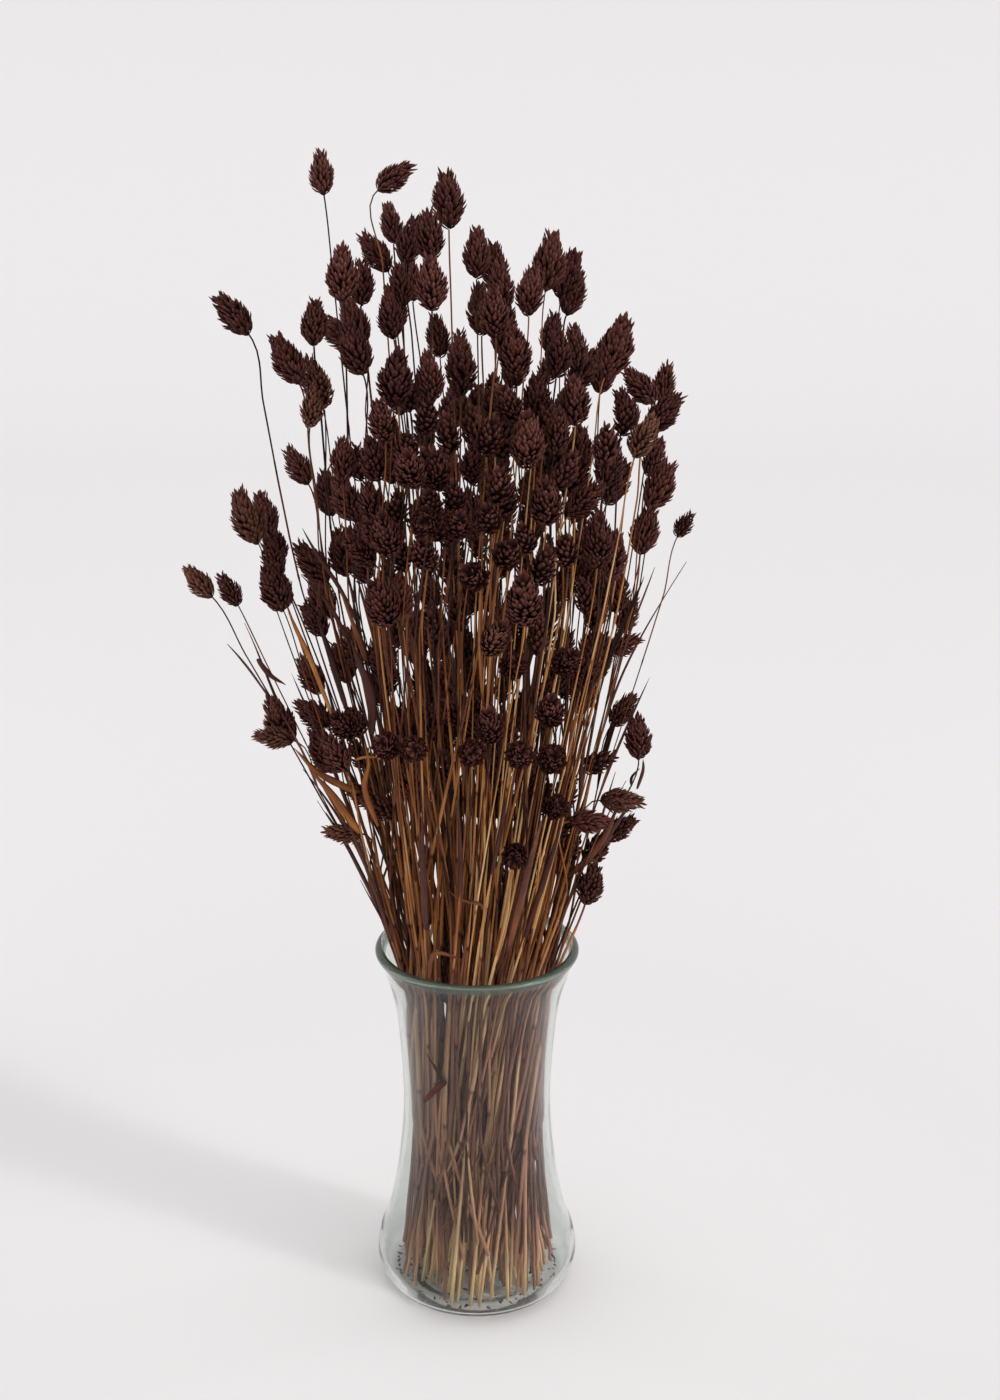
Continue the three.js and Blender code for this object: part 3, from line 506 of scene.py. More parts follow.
# %% Their bends
FILL_TO_WALL = (0.45, 1.0)
FILL_ROOM = np.array([43.5, 36.3, 40.1])
FILL_LEAN = 1.5
FILL_LEAN_END = 400
FILL_FOOT_TURN = 1.1
FILL_SHORT = 0.85

fill_bends = (BEND_HEIGHTS[None, :] < fill_base[kept, 2:] - SHORTEST_TOP).sum(1)
fill_points = np.zeros((len(kept), BENDS + 1, 3))
for row, i in enumerate(kept):
    for k in range(fill_bends[row]):
        at = mix(stem_at(first[i], BEND_HEIGHTS[k]), stem_at(second[i], BEND_HEIGHTS[k]), share[i])
        if k < len(FILL_ROOM):
            reach = np.hypot(*at)
            at *= mix(reach, FILL_ROOM[k], mix(*FILL_TO_WALL, draw(i, 89))) / reach
            at *= min(1, FILL_ROOM[k] / np.hypot(*at))
        lean = FILL_LEAN * (2 * draw(i, 90) - 1) * max(0, 1 - BEND_HEIGHTS[k] / FILL_LEAN_END)
        lean += FILL_FOOT_TURN * (2 * draw(i, 92) - 1) * (k == 0)
        at = turned(at, lean)
        fill_points[row, k] = [*at, BEND_HEIGHTS[k]]
    fill_points[row, 0] = mix(*fill_points[row, :2], FILL_SHORT * np.sqrt(draw(i, 93)))
    fill_points[row, fill_bends[row]] = fill_base[i]
stem_points = np.concatenate([stem_points, fill_points])
bends = np.concatenate([bends, fill_bends])
head_axis = np.concatenate([head_axis, fill_axis[kept]])
head_length = np.concatenate([head_length, fill_length[kept]])
head_radius = np.concatenate([head_radius, fill_radius[kept]])
everyone = np.arange(len(bends))
inside = everyone >= HEADS
print("stems in all:", len(everyone))

# %% [markdown]
# ## Surfaces from numpy
# Every piece below is a surface worked out as whole arrays: a section carried along a path, or one
# small scale turned and moved to each of its places. A piece collects such surfaces, and one call
# puts them into a mesh. Two vectors are kept for each point, for the finishes to read: "look" holds
# the tone, the share of the way along and a tint, and "grain" holds the place within the straw or
# scale, in millimetres, so that a streak follows the plant and not the room.

# %% Collecting surfaces in one piece
class Piece:
    """Surfaces that will share one object, each with its faces, looks, grain and finish."""

    def __init__(self):
        self.points, self.look, self.grain, self.faces = [], [], [], []
        self.count = 0

    def add(self, points, faces, look, grain, finish, smooth=True):
        """Adds points (n, 3) in millimetres and arrays of faces, one for each count of corners."""
        points = points.reshape(-1, 3)
        self.points.append(points)
        self.look.append(np.broadcast_to(look, points.shape))
        self.grain.append(grain.reshape(-1, 3))
        self.faces += [(face + self.count, finish, smooth) for face in faces]
        self.count += len(points)

    def build(self, name, finishes):
        """Makes the mesh object, with its place in its mesh, in metres."""
        faces, slots, smooth = zip(*self.faces)
        rows = [len(f) for f in faces]
        sizes = np.repeat([f.shape[1] for f in faces], rows)
        mesh = bpy.data.meshes.new(name)
        mesh.vertices.add(self.count)
        mesh.loops.add(int(sizes.sum()))
        mesh.polygons.add(len(sizes))
        mesh.vertices.foreach_set("co", (np.concatenate(self.points) * MM).ravel())
        mesh.loops.foreach_set("vertex_index", np.concatenate([f.ravel() for f in faces]))
        mesh.polygons.foreach_set("loop_start", np.cumsum(sizes) - sizes)
        mesh.polygons.foreach_set("material_index", np.repeat(slots, rows))
        mesh.polygons.foreach_set("use_smooth", np.repeat(smooth, rows))
        for label, vectors in (("look", self.look), ("grain", self.grain)):
            layer = mesh.attributes.new(label, "FLOAT_VECTOR", "POINT")
            layer.data.foreach_set("vector", np.concatenate(vectors).ravel())
        for finish in finishes:
            mesh.materials.append(finish)
        mesh.update()
        mesh.validate()
        piece = bpy.data.objects.new(name, mesh)
        bpy.context.scene.collection.objects.link(piece)
        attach(piece, "root")
        return piece


def sweep(path, radius, reference, sides):
    """Rings round a path: p + r (u cos a + v sin a); u is the reference made square to it, v = t x u."""
    t = unit(np.gradient(path, axis=0))
    u = unit(reference - (t @ reference)[:, None] * t)
    v = np.cross(t, u)
    angle = 2 * np.pi * np.arange(sides) / sides
    ring = u[:, None] * np.cos(angle)[:, None] + v[:, None] * np.sin(angle)[:, None]
    return path[:, None] + radius[:, None, None] * ring


def tube_faces(rings, sides):
    """Quads between neighbouring rings, and one face over each end, all facing out."""
    low = sides * np.arange(rings - 1)[:, None] + np.arange(sides)
    turn = sides * np.arange(rings - 1)[:, None] + (np.arange(sides) + 1) % sides
    quads = np.stack([low, turn, turn + sides, low + sides], -1).reshape(-1, 4)
    ends = np.stack([np.arange(sides)[::-1], sides * (rings - 1) + np.arange(sides)])
    return [quads, ends]


def level_side(axis):
    """A level direction square to an axis: the axis made level, crossed with up."""
    flat = np.array([axis[0], axis[1], 0.0])
    flat = flat / np.linalg.norm(flat) if np.linalg.norm(flat) > 1e-3 else np.array([1.0, 0, 0])
    return np.cross(flat, [0, 0, 1.0])


# %% [markdown]
# ## Straws
# A dried straw is nearly straight, thins towards its head and bends over just below it. It is
# jointed like a bamboo: at each joint it swells a little, and a sheath wraps the straw above the
# joint for a hand's breadth. The path is a smooth curve through the planned points that leaves the
# last one along the head's axis. A curve swings a little wide of its points, so that of a stem
# inside the bunch is kept within a list of reaches, by height, just inside the glass.
#
# A round tube of six sides is enough at this width. Its rings lie where the straw changes: round
# each joint, at each sheath's end and at the bend below the head, with few between.

# %% Straw paths
STRAW_STEPS = 12
HEAD_BEND = 34
GLASS_REACH_HEIGHTS = [6, 20, 43, 69, 104, 136, 172, 196, 215, 240]
GLASS_REACH = [43.5, 50, 45.2, 39.9, 36.3, 36.8, 40.1, 46.3, 56, 200]


def hermite(points, tangents, steps):
    """Curve through points: each stretch is (2t3-3t2+1)p + (t3-2t2+t)m + (3t2-2t3)q + (t3-t2)n."""
    t = np.linspace(0, 1, steps, endpoint=False)[:, None]
    p, q = points[:-1, None], points[1:, None]
    m, n = tangents[:-1, None], tangents[1:, None]
    curve = (2 * t**3 - 3 * t**2 + 1) * p + (t**3 - 2 * t**2 + t) * m
    curve = curve + (3 * t**2 - 2 * t**3) * q + (t**3 - t**2) * n
    return np.concatenate([curve.reshape(-1, 3), points[-1:]])


def straw_path(i):
    """Smooth path of stem i, from its foot to the base of its head, kept inside the glass."""
    points = stem_points[i, : bends[i] + 1]
    last = np.linalg.norm(points[-1] - points[-2])
    if last > 1.6 * HEAD_BEND:
        halfway = points[-1] - (points[-1] - points[-2]) * HEAD_BEND / last
        points = np.concatenate([points[:-1], halfway[None], points[-1:]])
        last = HEAD_BEND
    chord = np.diff(points, axis=0)
    size = np.linalg.norm(chord, axis=1)[:, None]
    tangents = np.zeros_like(points)
    way_on = unit(chord[:-1] / size[:-1] + chord[1:] / size[1:])
    inner = way_on * np.minimum(size[:-1], size[1:])
    tangents[1:-1] = inner
    tangents[0] = chord[0]
    tangents[-1] = head_axis[i] * last
    path = hermite(points, tangents, STRAW_STEPS)
    if inside[i]:
        room = np.interp(path[:, 2], GLASS_REACH_HEIGHTS, GLASS_REACH)
        path[:, :2] *= np.minimum(1, room / np.hypot(path[:, 0], path[:, 1]))[:, None]
    return path


# %% Straw rings
STRAW, SCALE, BLADE = 0, 1, 2
STRAW_SIDES = 6
STRAW_RADIUS_LOW = 1.0
STRAW_RADIUS_TOP = 0.38
STRAW_GIRTH = (0.78, 1.22)
JOINT_FIRST = (55, 150)
JOINT_STEP = (95, 150)
JOINT_STOP = 60
JOINT_SWELL = 0.32
JOINT_WIDTH = 1.4
JOINT_RINGS = (-2.5, -1, 0, 1, 2.5)
SHEATH_SWELL = 0.3
SHEATH_LENGTH = (45, 85)
SHEATH_EDGE = 0.6
RING_EVERY = 3
RING_EVERY_INSIDE = 6
RING_EVERY_AT_HEAD = 2
GRAIN_SHIFT = 40


def straw(piece, i):
    """One straw: rings at even steps and round each joint, wider in the joints and sheaths."""
    path = straw_path(i)
    run = np.concatenate([[0], np.cumsum(np.linalg.norm(np.diff(path, axis=0), axis=1))])
    joint = mix(*JOINT_FIRST, draw(i, 11))
    joints = []
    while joint < run[-1] - JOINT_STOP:
        joints.append(joint)
        joint += mix(*JOINT_STEP, draw(i, 12 + len(joints)))
    joints = np.array(joints)
    sheath_ends = joints + mix(*SHEATH_LENGTH, draw(i * 3 + np.arange(len(joints)), 17))
    every = RING_EVERY_INSIDE if inside[i] else RING_EVERY
    marks = [run[::every], run[-STRAW_STEPS::RING_EVERY_AT_HEAD], run[-1:]]
    marks += [joints + d for d in JOINT_RINGS] + [sheath_ends - SHEATH_EDGE, sheath_ends + SHEATH_EDGE]
    marks = np.unique(np.clip(np.concatenate(marks), 0, run[-1]))
    at = np.stack([np.interp(marks, run, path[:, c]) for c in range(3)], 1)
    height = np.clip(marks / STEM_TAPER, 0, 1)
    swell = np.exp(-(((marks[:, None] - joints) / JOINT_WIDTH) ** 2)).sum(1)
    in_sheath = ((marks[:, None] > joints) & (marks[:, None] < sheath_ends)).any(1)
    girth = mix(*STRAW_GIRTH, draw(i, 8))
    radius = girth * mix(STRAW_RADIUS_LOW, STRAW_RADIUS_TOP, height)
    radius = radius * (1 + JOINT_SWELL * swell + SHEATH_SWELL * in_sheath * (1 - 0.5 * height))
    rings = sweep(at, radius, level_side(head_axis[i]), STRAW_SIDES)
    look = np.stack([np.full(len(marks), straw_tone[i]), swell, in_sheath * 1.0], 1)
    grain = (rings - at[:, None]).copy()
    grain[..., 2] = marks[:, None]
    grain += GRAIN_SHIFT * np.array([draw(i, 9), draw(i, 10), 0])
    look = np.repeat(look[:, None], STRAW_SIDES, 1).reshape(-1, 3)
    piece.add(rings, tube_faces(len(marks), STRAW_SIDES), look, grain, STRAW)
    return path, run


# %% [markdown]
# The straws' tone runs from nearly black, through purple-brown and orange-brown, to pale straw.
# Those at the front of the middle are the most golden, apart from about a fifth of them that the
# dye reached: partly the undyed straw's own colour, partly painted light where the key lights the
# front of the bunch. Those at the outside and at the back get less of that gold and are darker,
# and those inside the bunch are darker still, which is painted shade.

# %% Tone of each straw
GOLD_MIDDLE = 6
GOLD_BREADTH = 48
GOLD_DEPTH = 80
GOLD_AT_AXIS = 0.6
DYED_SHARE = 0.22
PARTLY_DYED_SHARE = 0.35
TONE_DARKEST = 0.04
TONE_VARIES = 0.38
TONE_GOLD_AND_LIGHT = 0.72
TONE_INSIDE_SHADE = 0.75

mid_xy = stem_points[:, RIM, :2]
central = np.exp(-(((mid_xy[:, 0] - GOLD_MIDDLE) / GOLD_BREADTH) ** 2))
front = np.clip(GOLD_AT_AXIS - mid_xy[:, 1] / GOLD_DEPTH, 0, 1)
gilt = np.clip((draw(everyone, 48) - DYED_SHARE) / PARTLY_DYED_SHARE, 0, 1)
# Painted light: the gold is strongest on straws at the front of the middle, where the bunch is lit.
straw_tone = TONE_DARKEST + TONE_VARIES * draw(everyone, 7) + TONE_GOLD_AND_LIGHT * central * front * gilt
# Painted shade: the straws inside the bunch are made a quarter darker.
straw_tone = np.clip(straw_tone, 0, 1) * np.where(inside, TONE_INSIDE_SHADE, 1)
print("straw tones from", round(float(straw_tone.min()), 2), "to", round(float(straw_tone.max()), 2))

# %% [markdown]
# ## Seed heads
# A canary grass head is a tight spike of flattened spikelets, each in a pair of keeled, pointed
# glumes. They lie close along the pointed base, like roof tiles, and their tips stand free towards
# the top, which ends in a crown of points. One small keeled scale of ten points is turned to each
# place. The places follow the golden angle, with equal shares of the head's surface, which packs
# them without rows that the eye could follow.

# %% One scale
SCALE_STATIONS = np.array([0.0, 0.4, 0.76])
SCALE_WIDTHS = np.array([0.5, 1.0, 0.72])
SCALE_KEEL = np.array([0.5, 0.85, 0.6])
SCALE_BOW = 0.06
SCALE_POINTS = 10
SCALE_GRAIN_STEP = 9.7

template = np.zeros((SCALE_POINTS, 3))
template[:9, 0] = (SCALE_WIDTHS[:, None] * [1, 0, -1]).ravel()
template[:9, 1] = (SCALE_KEEL[:, None] * [0, 1, 0]).ravel()
template[:9, 2] = np.repeat(SCALE_STATIONS, 3)
template[9, 2] = 1
scale_tube, scale_ends = tube_faces(3, 3)
scale_tip = np.stack([[6, 7, 8], [7, 8, 6], [9, 9, 9]], 1)
SCALE_FACES = [scale_tube, np.concatenate([scale_ends[:1], scale_tip])]
print("faces of one scale:", sum(len(f) for f in SCALE_FACES))


def scales(piece, origin, direction, out, length, width, look, finish):
    """Turns the scale to each place: origin + side x + out y + direction z, bowed out in the middle."""
    side = np.cross(out, direction)
    x, y, z = template.T
    bow = SCALE_BOW * np.sin(np.pi * z)
    points = origin[:, None] + side[:, None] * (width[:, None] * x)[..., None]
    points = points + out[:, None] * (width[:, None] * y + length[:, None] * bow)[..., None]
    points = points + direction[:, None] * (length[:, None] * z)[..., None]
    offset = SCALE_POINTS * np.arange(len(origin))[:, None, None]
    faces = [(f[None] + offset).reshape(-1, f.shape[1]) for f in SCALE_FACES]
    looks = np.repeat(look[:, None], SCALE_POINTS, 1)
    looks[..., 1] = z
    grain = np.stack([width[:, None] * x, length[:, None] * z, SCALE_GRAIN_STEP * looks[..., 0]], -1)
    piece.add(points, faces, looks.reshape(-1, 3), grain, finish, smooth=False)


# %% [markdown]
# ### Body and core
# The scales stand on a spindle: a cone at the base, blunter above, and bent a little to one side.
# A plain core fills it, so that no light shows between the scales, and its dark colour is painted
# shade for the hollows among them. The body ends below the top of the head, because the last scales
# reach on past it.

# %% Body of a head
BODY_SHARE = 0.8
BODY_SLIM = 0.85
BODY_WIDEST = 0.47
BODY_ROUND = 2.0
BODY_SWAY = 0.06
CORE_SIDES = 8
CORE_ROWS = 8
CORE_SPAN = (0.02, 0.985)
CORE_GIRTH = 0.8
CORE_SHADE_TONE = 0.1
SKIN_STEPS = 200
SKIN_LEAST = 0.5
SKIN_STEEPEST = 3


def body_radius(t):
    """Profile of a head's body, widest at w: (t/w)^(rw) ((1-t)/(1-w))^(r(1-w))."""
    t = np.clip(t, 1e-6, 1 - 1e-6)
    up, down = BODY_ROUND * BODY_WIDEST, BODY_ROUND * (1 - BODY_WIDEST)
    return (t / BODY_WIDEST) ** up * ((1 - t) / (1 - BODY_WIDEST)) ** down


class Head:
    """The body of head i: its size, its directions, its bent middle line and its share of skin."""

    def __init__(self, i):
        self.length, self.radius, self.axis = head_length[i], BODY_SLIM * head_radius[i], head_axis[i]
        self.base = stem_points[i, bends[i]]
        self.body = BODY_SHARE * self.length
        self.side = level_side(self.axis)
        self.other = np.cross(self.axis, self.side)
        across, along_other = [BODY_SWAY * self.length * (2 * draw(i, kind) - 1) for kind in (21, 22)]
        self.sway = across * self.side + along_other * self.other

    def spine(self, t):
        """Point of the middle line: base + axis t + sway t squared."""
        return self.base + self.axis * (self.body * t)[:, None] + self.sway * (t * t)[:, None]

    def even_places(self, count):
        """Shares of the way up at which equal parts of the skin end: the skin is r ds, summed up."""
        fine = np.linspace(0, 1, SKIN_STEPS)
        profile = self.radius * body_radius(fine)
        slope = np.clip(np.gradient(profile, fine * self.body), -SKIN_STEEPEST, SKIN_STEEPEST)
        skin = np.cumsum((profile + SKIN_LEAST) * np.hypot(1, slope))
        return np.interp((np.arange(count) + 0.5) / count, skin / skin[-1], fine)


def head_core(piece, i, head):
    """The plain core, painted dark as shade, rings round the middle line."""
    rows = np.linspace(*CORE_SPAN, CORE_ROWS)
    core_radius = CORE_GIRTH * head.radius * body_radius(rows)
    rings = sweep(head.spine(rows), core_radius, head.side, CORE_SIDES)
    # Painted shade: the core takes the darkest scale tone.
    look = np.tile([CORE_SHADE_TONE * draw(i, 43), 0.0, head_warm[i]], (CORE_ROWS * CORE_SIDES, 1))
    piece.add(rings, tube_faces(CORE_ROWS, CORE_SIDES), look, rings.copy(), SCALE)


# %% [markdown]
# ### Scales on the body
# Each scale runs from a root a little under the body's skin to a tip that lies on the skin at the
# base of the head and stands further out the higher it is. Chance shifts each one's length, width,
# angle and turn a little. Heads inside the bunch have half the scales, each wider, because little
# of them shows.

# %% Scales of a head
GOLDEN_ANGLE = np.pi * (3 - np.sqrt(5))
SCALES_PER_MM = 5.6
SCALES_PER_MM_INSIDE = 2.7
SCALE_WIDER_INSIDE = 1.35
SCALE_LENGTH = (0.125, 0.165)
SCALE_LENGTH_VARIES = (0.85, 1.15)
SCALE_WIDTH = 0.034
SCALE_WIDTH_VARIES = (0.85, 1.2)
SCALE_ROOT = 0.74
SCALE_ANGLE_STRAY = 0.3
SCALE_SKEW = 0.16
SCALE_ROLL = 0.6
FLARE_AT_BASE = 0.05
FLARE_RISE = 0.9
FLARE_END = 1.15
FLARE_VARIES = 0.32
CROWN_SHARE = 0.92
OWN_SHARE = 0.5


def seed_head(piece, i):
    """One head: roots under the skin, tips at r + flare, where flare = r (a + b t (c - t) + chance)."""
    head = Head(i)
    head_core(piece, i, head)
    count = int(round((SCALES_PER_MM_INSIDE if inside[i] else SCALES_PER_MM) * head.length))
    t = head.even_places(count)
    seed = 400 * i + np.arange(count)
    angle = GOLDEN_ANGLE * np.arange(count) + SCALE_ANGLE_STRAY * (draw(seed, 31) - 0.5)
    radial = np.cos(angle)[:, None] * head.side + np.sin(angle)[:, None] * head.other
    long = head.length * mix(*SCALE_LENGTH, np.sqrt(t)) * mix(*SCALE_LENGTH_VARIES, draw(seed, 34))
    t_tip = t + long / head.body
    flare = FLARE_AT_BASE + FLARE_RISE * t * (FLARE_END - t) + FLARE_VARIES * draw(seed, 32)
    tip_reach = head.radius * (body_radius(np.minimum(t_tip, CROWN_SHARE)) + flare)
    origin = head.spine(t) + (SCALE_ROOT * head.radius * body_radius(t))[:, None] * radial
    skew = SCALE_SKEW * long * (draw(seed, 33) - 0.5)
    tip = head.spine(t_tip) + tip_reach[:, None] * radial + skew[:, None] * np.cross(head.axis, radial)
    direction = unit(tip - origin)
    out = unit(radial - (radial * direction).sum(1)[:, None] * direction)
    out = unit(out + (SCALE_ROLL * (draw(seed, 37) - 0.5))[:, None] * np.cross(direction, out))
    width = SCALE_WIDTH * head.length * mix(*SCALE_WIDTH_VARIES, draw(seed, 35))
    width = width * (SCALE_WIDER_INSIDE if inside[i] else 1)
    own = mix(draw(i, 43), draw(seed, 36), OWN_SHARE)
    look = np.stack([own, 0 * t, np.full(count, head_warm[i])], 1)
    scales(piece, origin, direction, out, np.linalg.norm(tip - origin, axis=1), width, look, SCALE)
    return count


# %% [markdown]
# Most heads are burgundy. A few of those that the photograph shows are a warmer, paler brown: the
# dye took less there. They are listed by their places in the lists of seen heads. The tint is a
# number for each head, near 0 for nearly all and high for these.

# %% Tint of each head
WARM_HEADS = [27, 32, 34, 45, 50, 71, 88, 101]
WARM_VARIES = 0.3
WARM_ADDED = 0.55
head_warm = WARM_VARIES * draw(everyone, 41) ** 2 + WARM_ADDED * np.isin(everyone, WARM_HEADS)
print("warmer heads:", int((head_warm > 0.5).sum()))

# %% [markdown]
# ## Leaves and sheath strips
# Dried grass leaves are thin strips with a fold along the midrib. Some stand off the outer straws,
# as in the CAD part, and more lie along the straws inside the bunch. A strip is a shallow V of
# eight points carried along a path that starts in its straw and bends away or droops. Five points
# make the upper side, and three lie under them, so the strip is a closed solid with a thickness.

# %% Leaf strips
LEAF_THICKNESS = 0.3
LEAF_STEPS = 15
LEAF_SECTION = np.array([
    [1, 0], [0.5, 0.5], [0, 1], [-0.5, 0.5], [-1, 0], [-0.5, 0.5], [0, 1], [0.5, 0.5],
])
LEAF_UNDER = np.array([0, 0, 0, 0, 0, 1, 1, 1.0])
LEAF_WIDTH_AT = [0, 0.12, 0.4, 0.75, 0.95, 1]
LEAF_WIDTHS = [0.45, 0.85, 1, 0.7, 0.25, 0.04]
LEAF_GRAIN_STEP = 7


def leaf_widths(share):
    """Half width along a leaf: narrow at its root, full over the middle, drawn out to a point."""
    return np.interp(share, LEAF_WIDTH_AT, LEAF_WIDTHS)


def strip(piece, path, width, out, fold, twist, look):
    """A folded strip along a path: p + side w x + out (w fold y - thickness), turned by twist."""
    share = np.linspace(0, 1, len(path))
    t = unit(np.gradient(path, axis=0))
    out = unit(out - (t * out).sum(1)[:, None] * t)
    side = np.cross(out, t)
    c, s = np.cos(twist * share)[:, None], np.sin(twist * share)[:, None]
    side, out = side * c + out * s, out * c - side * s
    half = (width / 2 * leaf_widths(share))[:, None, None]
    points = path[:, None] + half * LEAF_SECTION[None, :, :1] * side[:, None]
    lift = half * fold * LEAF_SECTION[None, :, 1:] - LEAF_THICKNESS * LEAF_UNDER[None, :, None]
    points = points + lift * out[:, None]
    run = np.concatenate([[0], np.cumsum(np.linalg.norm(np.diff(path, axis=0), axis=1))])
    across = half[..., 0] * LEAF_SECTION[:, 0]
    grain = np.stack(np.broadcast_arrays(across, LEAF_GRAIN_STEP * look[0], run[:, None]), -1)
    looks = np.stack([share * 0 + look[0], share, share * 0 + look[1]], 1)
    corners = len(LEAF_SECTION)
    piece.add(points, tube_faces(len(path), corners), np.repeat(looks, corners, 0), grain, BLADE)


def leaf_path(start, tangent, outward, length, away, droop, sway):
    """Steps along a direction that starts as the straw's and gains: away out, droop down, sway aside."""
    share = np.linspace(0, 1, LEAF_STEPS)[:, None]
    across = np.cross(outward, [0, 0, 1.0])
    bent = tangent + outward * away * share + across * sway * np.sin(2.6 * share)
    bent = unit(bent - np.array([0, 0, 1.0]) * droop * share**2)
    steps = bent[:-1] * length / (LEAF_STEPS - 1)
    return start + np.concatenate([np.zeros((1, 3)), np.cumsum(steps, axis=0)])


# %% [markdown]
# ## Finishes
# Every finish is worked out from the vectors that the pieces carry, because those follow each straw,
# scale and leaf, where a pattern in the room's space would cut across them. The small class below
# lets a finish be written as sums and products of such values: each one adds a Math node.

# %% Shader maths
class Field:
    """A value that varies over a surface. Arithmetic on it adds Math nodes to its material."""

    def __init__(self, tree, socket=None):
        self.tree, self.socket = tree, socket

    def add(self, kind, settings, values, out=0):
        """Adds a node: its settings and a ramp's stops first, then its sockets' values or links."""
        node = self.tree.nodes.new(kind)
        stops = settings.pop("stops", None)
        for key, value in settings.items():
            setattr(node, key, value)
        if stops:
            elements = node.color_ramp.elements
            while len(elements) < len(stops):
                elements.new(1.0)
            for element, (position, colour) in zip(elements, stops):
                element.position = position
                element.color = (*colour, 1)
        for key, value in values.items():
            if isinstance(value, Field):
                self.tree.links.new(value.socket, node.inputs[key])
            else:
                node.inputs[key].default_value = value
        return Field(self.tree, node.outputs[out] if len(node.outputs) else None)

    def maths(self, operation, *values):
        """One Math node."""
        return self.add("ShaderNodeMath", {"operation": operation}, dict(enumerate(values)))

    def part(self, vector, k):
        """Part k of a vector."""
        return self.add("ShaderNodeSeparateXYZ", {}, {"Vector": vector}, out=k)

    def __add__(self, other):
        return self.maths("ADD", self, other)

    __radd__ = __add__

    def __sub__(self, other):
        return self.maths("SUBTRACT", self, other)

    def __rsub__(self, other):
        return self.maths("SUBTRACT", other, self)

    def __mul__(self, other):
        return self.maths("MULTIPLY", self, other)

    __rmul__ = __mul__

    def step(self, low, high):
        """0 below low, 1 above high, and smooth between."""
        values = {"Value": self, "From Min": low, "From Max": high}
        return self.add("ShaderNodeMapRange", {"interpolation_type": "SMOOTHSTEP"}, values)

    def ramp(self, *stops):
        """Colours at positions along this value."""
        return self.add("ShaderNodeValToRGB", {"stops": stops}, {"Fac": self})

    def blend(self, low, high, how="MIX"):
        """Colour mixed from low to high by this value."""
        settings = {"data_type": "RGBA", "blend_type": how}
        return self.add("ShaderNodeMix", settings, {"Factor": self, "A": low, "B": high}, out=2)


def vector_parts(field, label):
    """A carried vector and its three parts."""
    vector = field.add("ShaderNodeAttribute", {"attribute_name": label}, {}, out=1)
    return [vector] + [field.part(vector, k) for k in range(3)]


def new_finish(name):
    """An empty node material and a field to write it with."""
    material = bpy.data.materials.new(name)
    material.use_nodes = True
    material.node_tree.nodes.clear()
    return material, Field(material.node_tree)


def noise(field, vector, scale, stretch=(1, 1, 1), detail=2.0):
    """Noise on a vector that is stretched first."""
    placed = field.add("ShaderNodeMapping", {}, {"Vector": vector, "Scale": stretch})
    return field.add("ShaderNodeTexNoise", {}, {"Vector": placed, "Scale": scale, "Detail": detail})


RELIEF = 0.0004


def close_finish(field, colour, roughness, height=None, bump=0.0, **fixed):
    """Principled surface with varying colour, roughness and bump, and its other values fixed."""
    values = {"Base Color": colour, "Roughness": roughness, **fixed}
    if height is not None:
        relief = {"Height": height, "Strength": bump, "Distance": RELIEF}
        values["Normal"] = field.add("ShaderNodeBump", {}, relief)
    surface = field.add("ShaderNodeBsdfPrincipled", {}, values)
    field.add("ShaderNodeOutputMaterial", {}, {"Surface": surface})


# %% [markdown]
# ### Dried straw
# Straw is satin, with fibres that run its whole length, so its tone changes in streaks along it and
# hardly round it: a noise that is drawn out along the straw gives them, and a second, wider one
# gives the blotches of uneven dye. The photograph's straws are darker and redder towards the heads.
# Inside the glass they are painted paler and pinker, a painted veil for the light that the glass
# mirrors over them, and their feet are painted paler still, painted light where the floor of the
# glass is bright. So there are two lists of tones, one for the glass and one above it, and the
# height blends them.

# %% Straw
STRAW_TONES = [
    (0.0, (0.017, 0.006, 0.004)),
    (0.25, (0.066, 0.020, 0.011)),
    (0.5, (0.230, 0.074, 0.022)),
    (0.75, (0.500, 0.210, 0.064)),
    (1.0, (0.720, 0.440, 0.200)),
]
GLASS_VEIL_TONES = [
    (0.0, (0.085, 0.035, 0.027)),
    (0.3, (0.290, 0.120, 0.088)),
    (0.6, (0.620, 0.300, 0.190)),
    (1.0, (0.950, 0.650, 0.360)),
]
OUT_OF_GLASS = (0.13, 0.24)
UPPER_STEMS = (0.26, 0.40)
TOP_STEMS = (0.42, 0.56)
FEET_PAINTED_LIGHT = (0.008, 0.06)


def straw_finish():
    """Streaks shift the tone; joints and upper stems are darker, sheaths paler, feet painted lighter."""
    material, f = new_finish("dried_straw")
    _, tone, joint, sheath = vector_parts(f, "look")
    grain, _, _, _ = vector_parts(f, "grain")
    streak = noise(f, grain, 1.0, (1.6, 1.6, 0.05), 3.0)
    blotch = noise(f, grain, 1.0, (0.1, 0.1, 0.03))
    shade = tone + 0.5 * (streak - 0.5) + 0.5 * (blotch - 0.5) + 0.14 * sheath - 0.35 * joint
    place = f.add("ShaderNodeTexCoord", {}, {}, out=3)
    height = f.part(place, 2)
    shade = shade - 0.14 * height.step(*UPPER_STEMS) - 0.24 * height.step(*TOP_STEMS)
    # Painted light: the feet of the straws are made paler, where the glass floor round them is bright.
    shade = shade + 0.36 * (1 - height.step(*FEET_PAINTED_LIGHT))
    # Painted reflection: inside the glass the paler, pinker tones stand for the light the glass mirrors
    # over the straws.
    colour = height.step(*OUT_OF_GLASS).blend(shade.ramp(*GLASS_VEIL_TONES), shade.ramp(*STRAW_TONES))
    close_finish(f, colour, 0.55 - 0.2 * streak, streak, 0.35, **{"Specular IOR Level": 0.12})
    return material


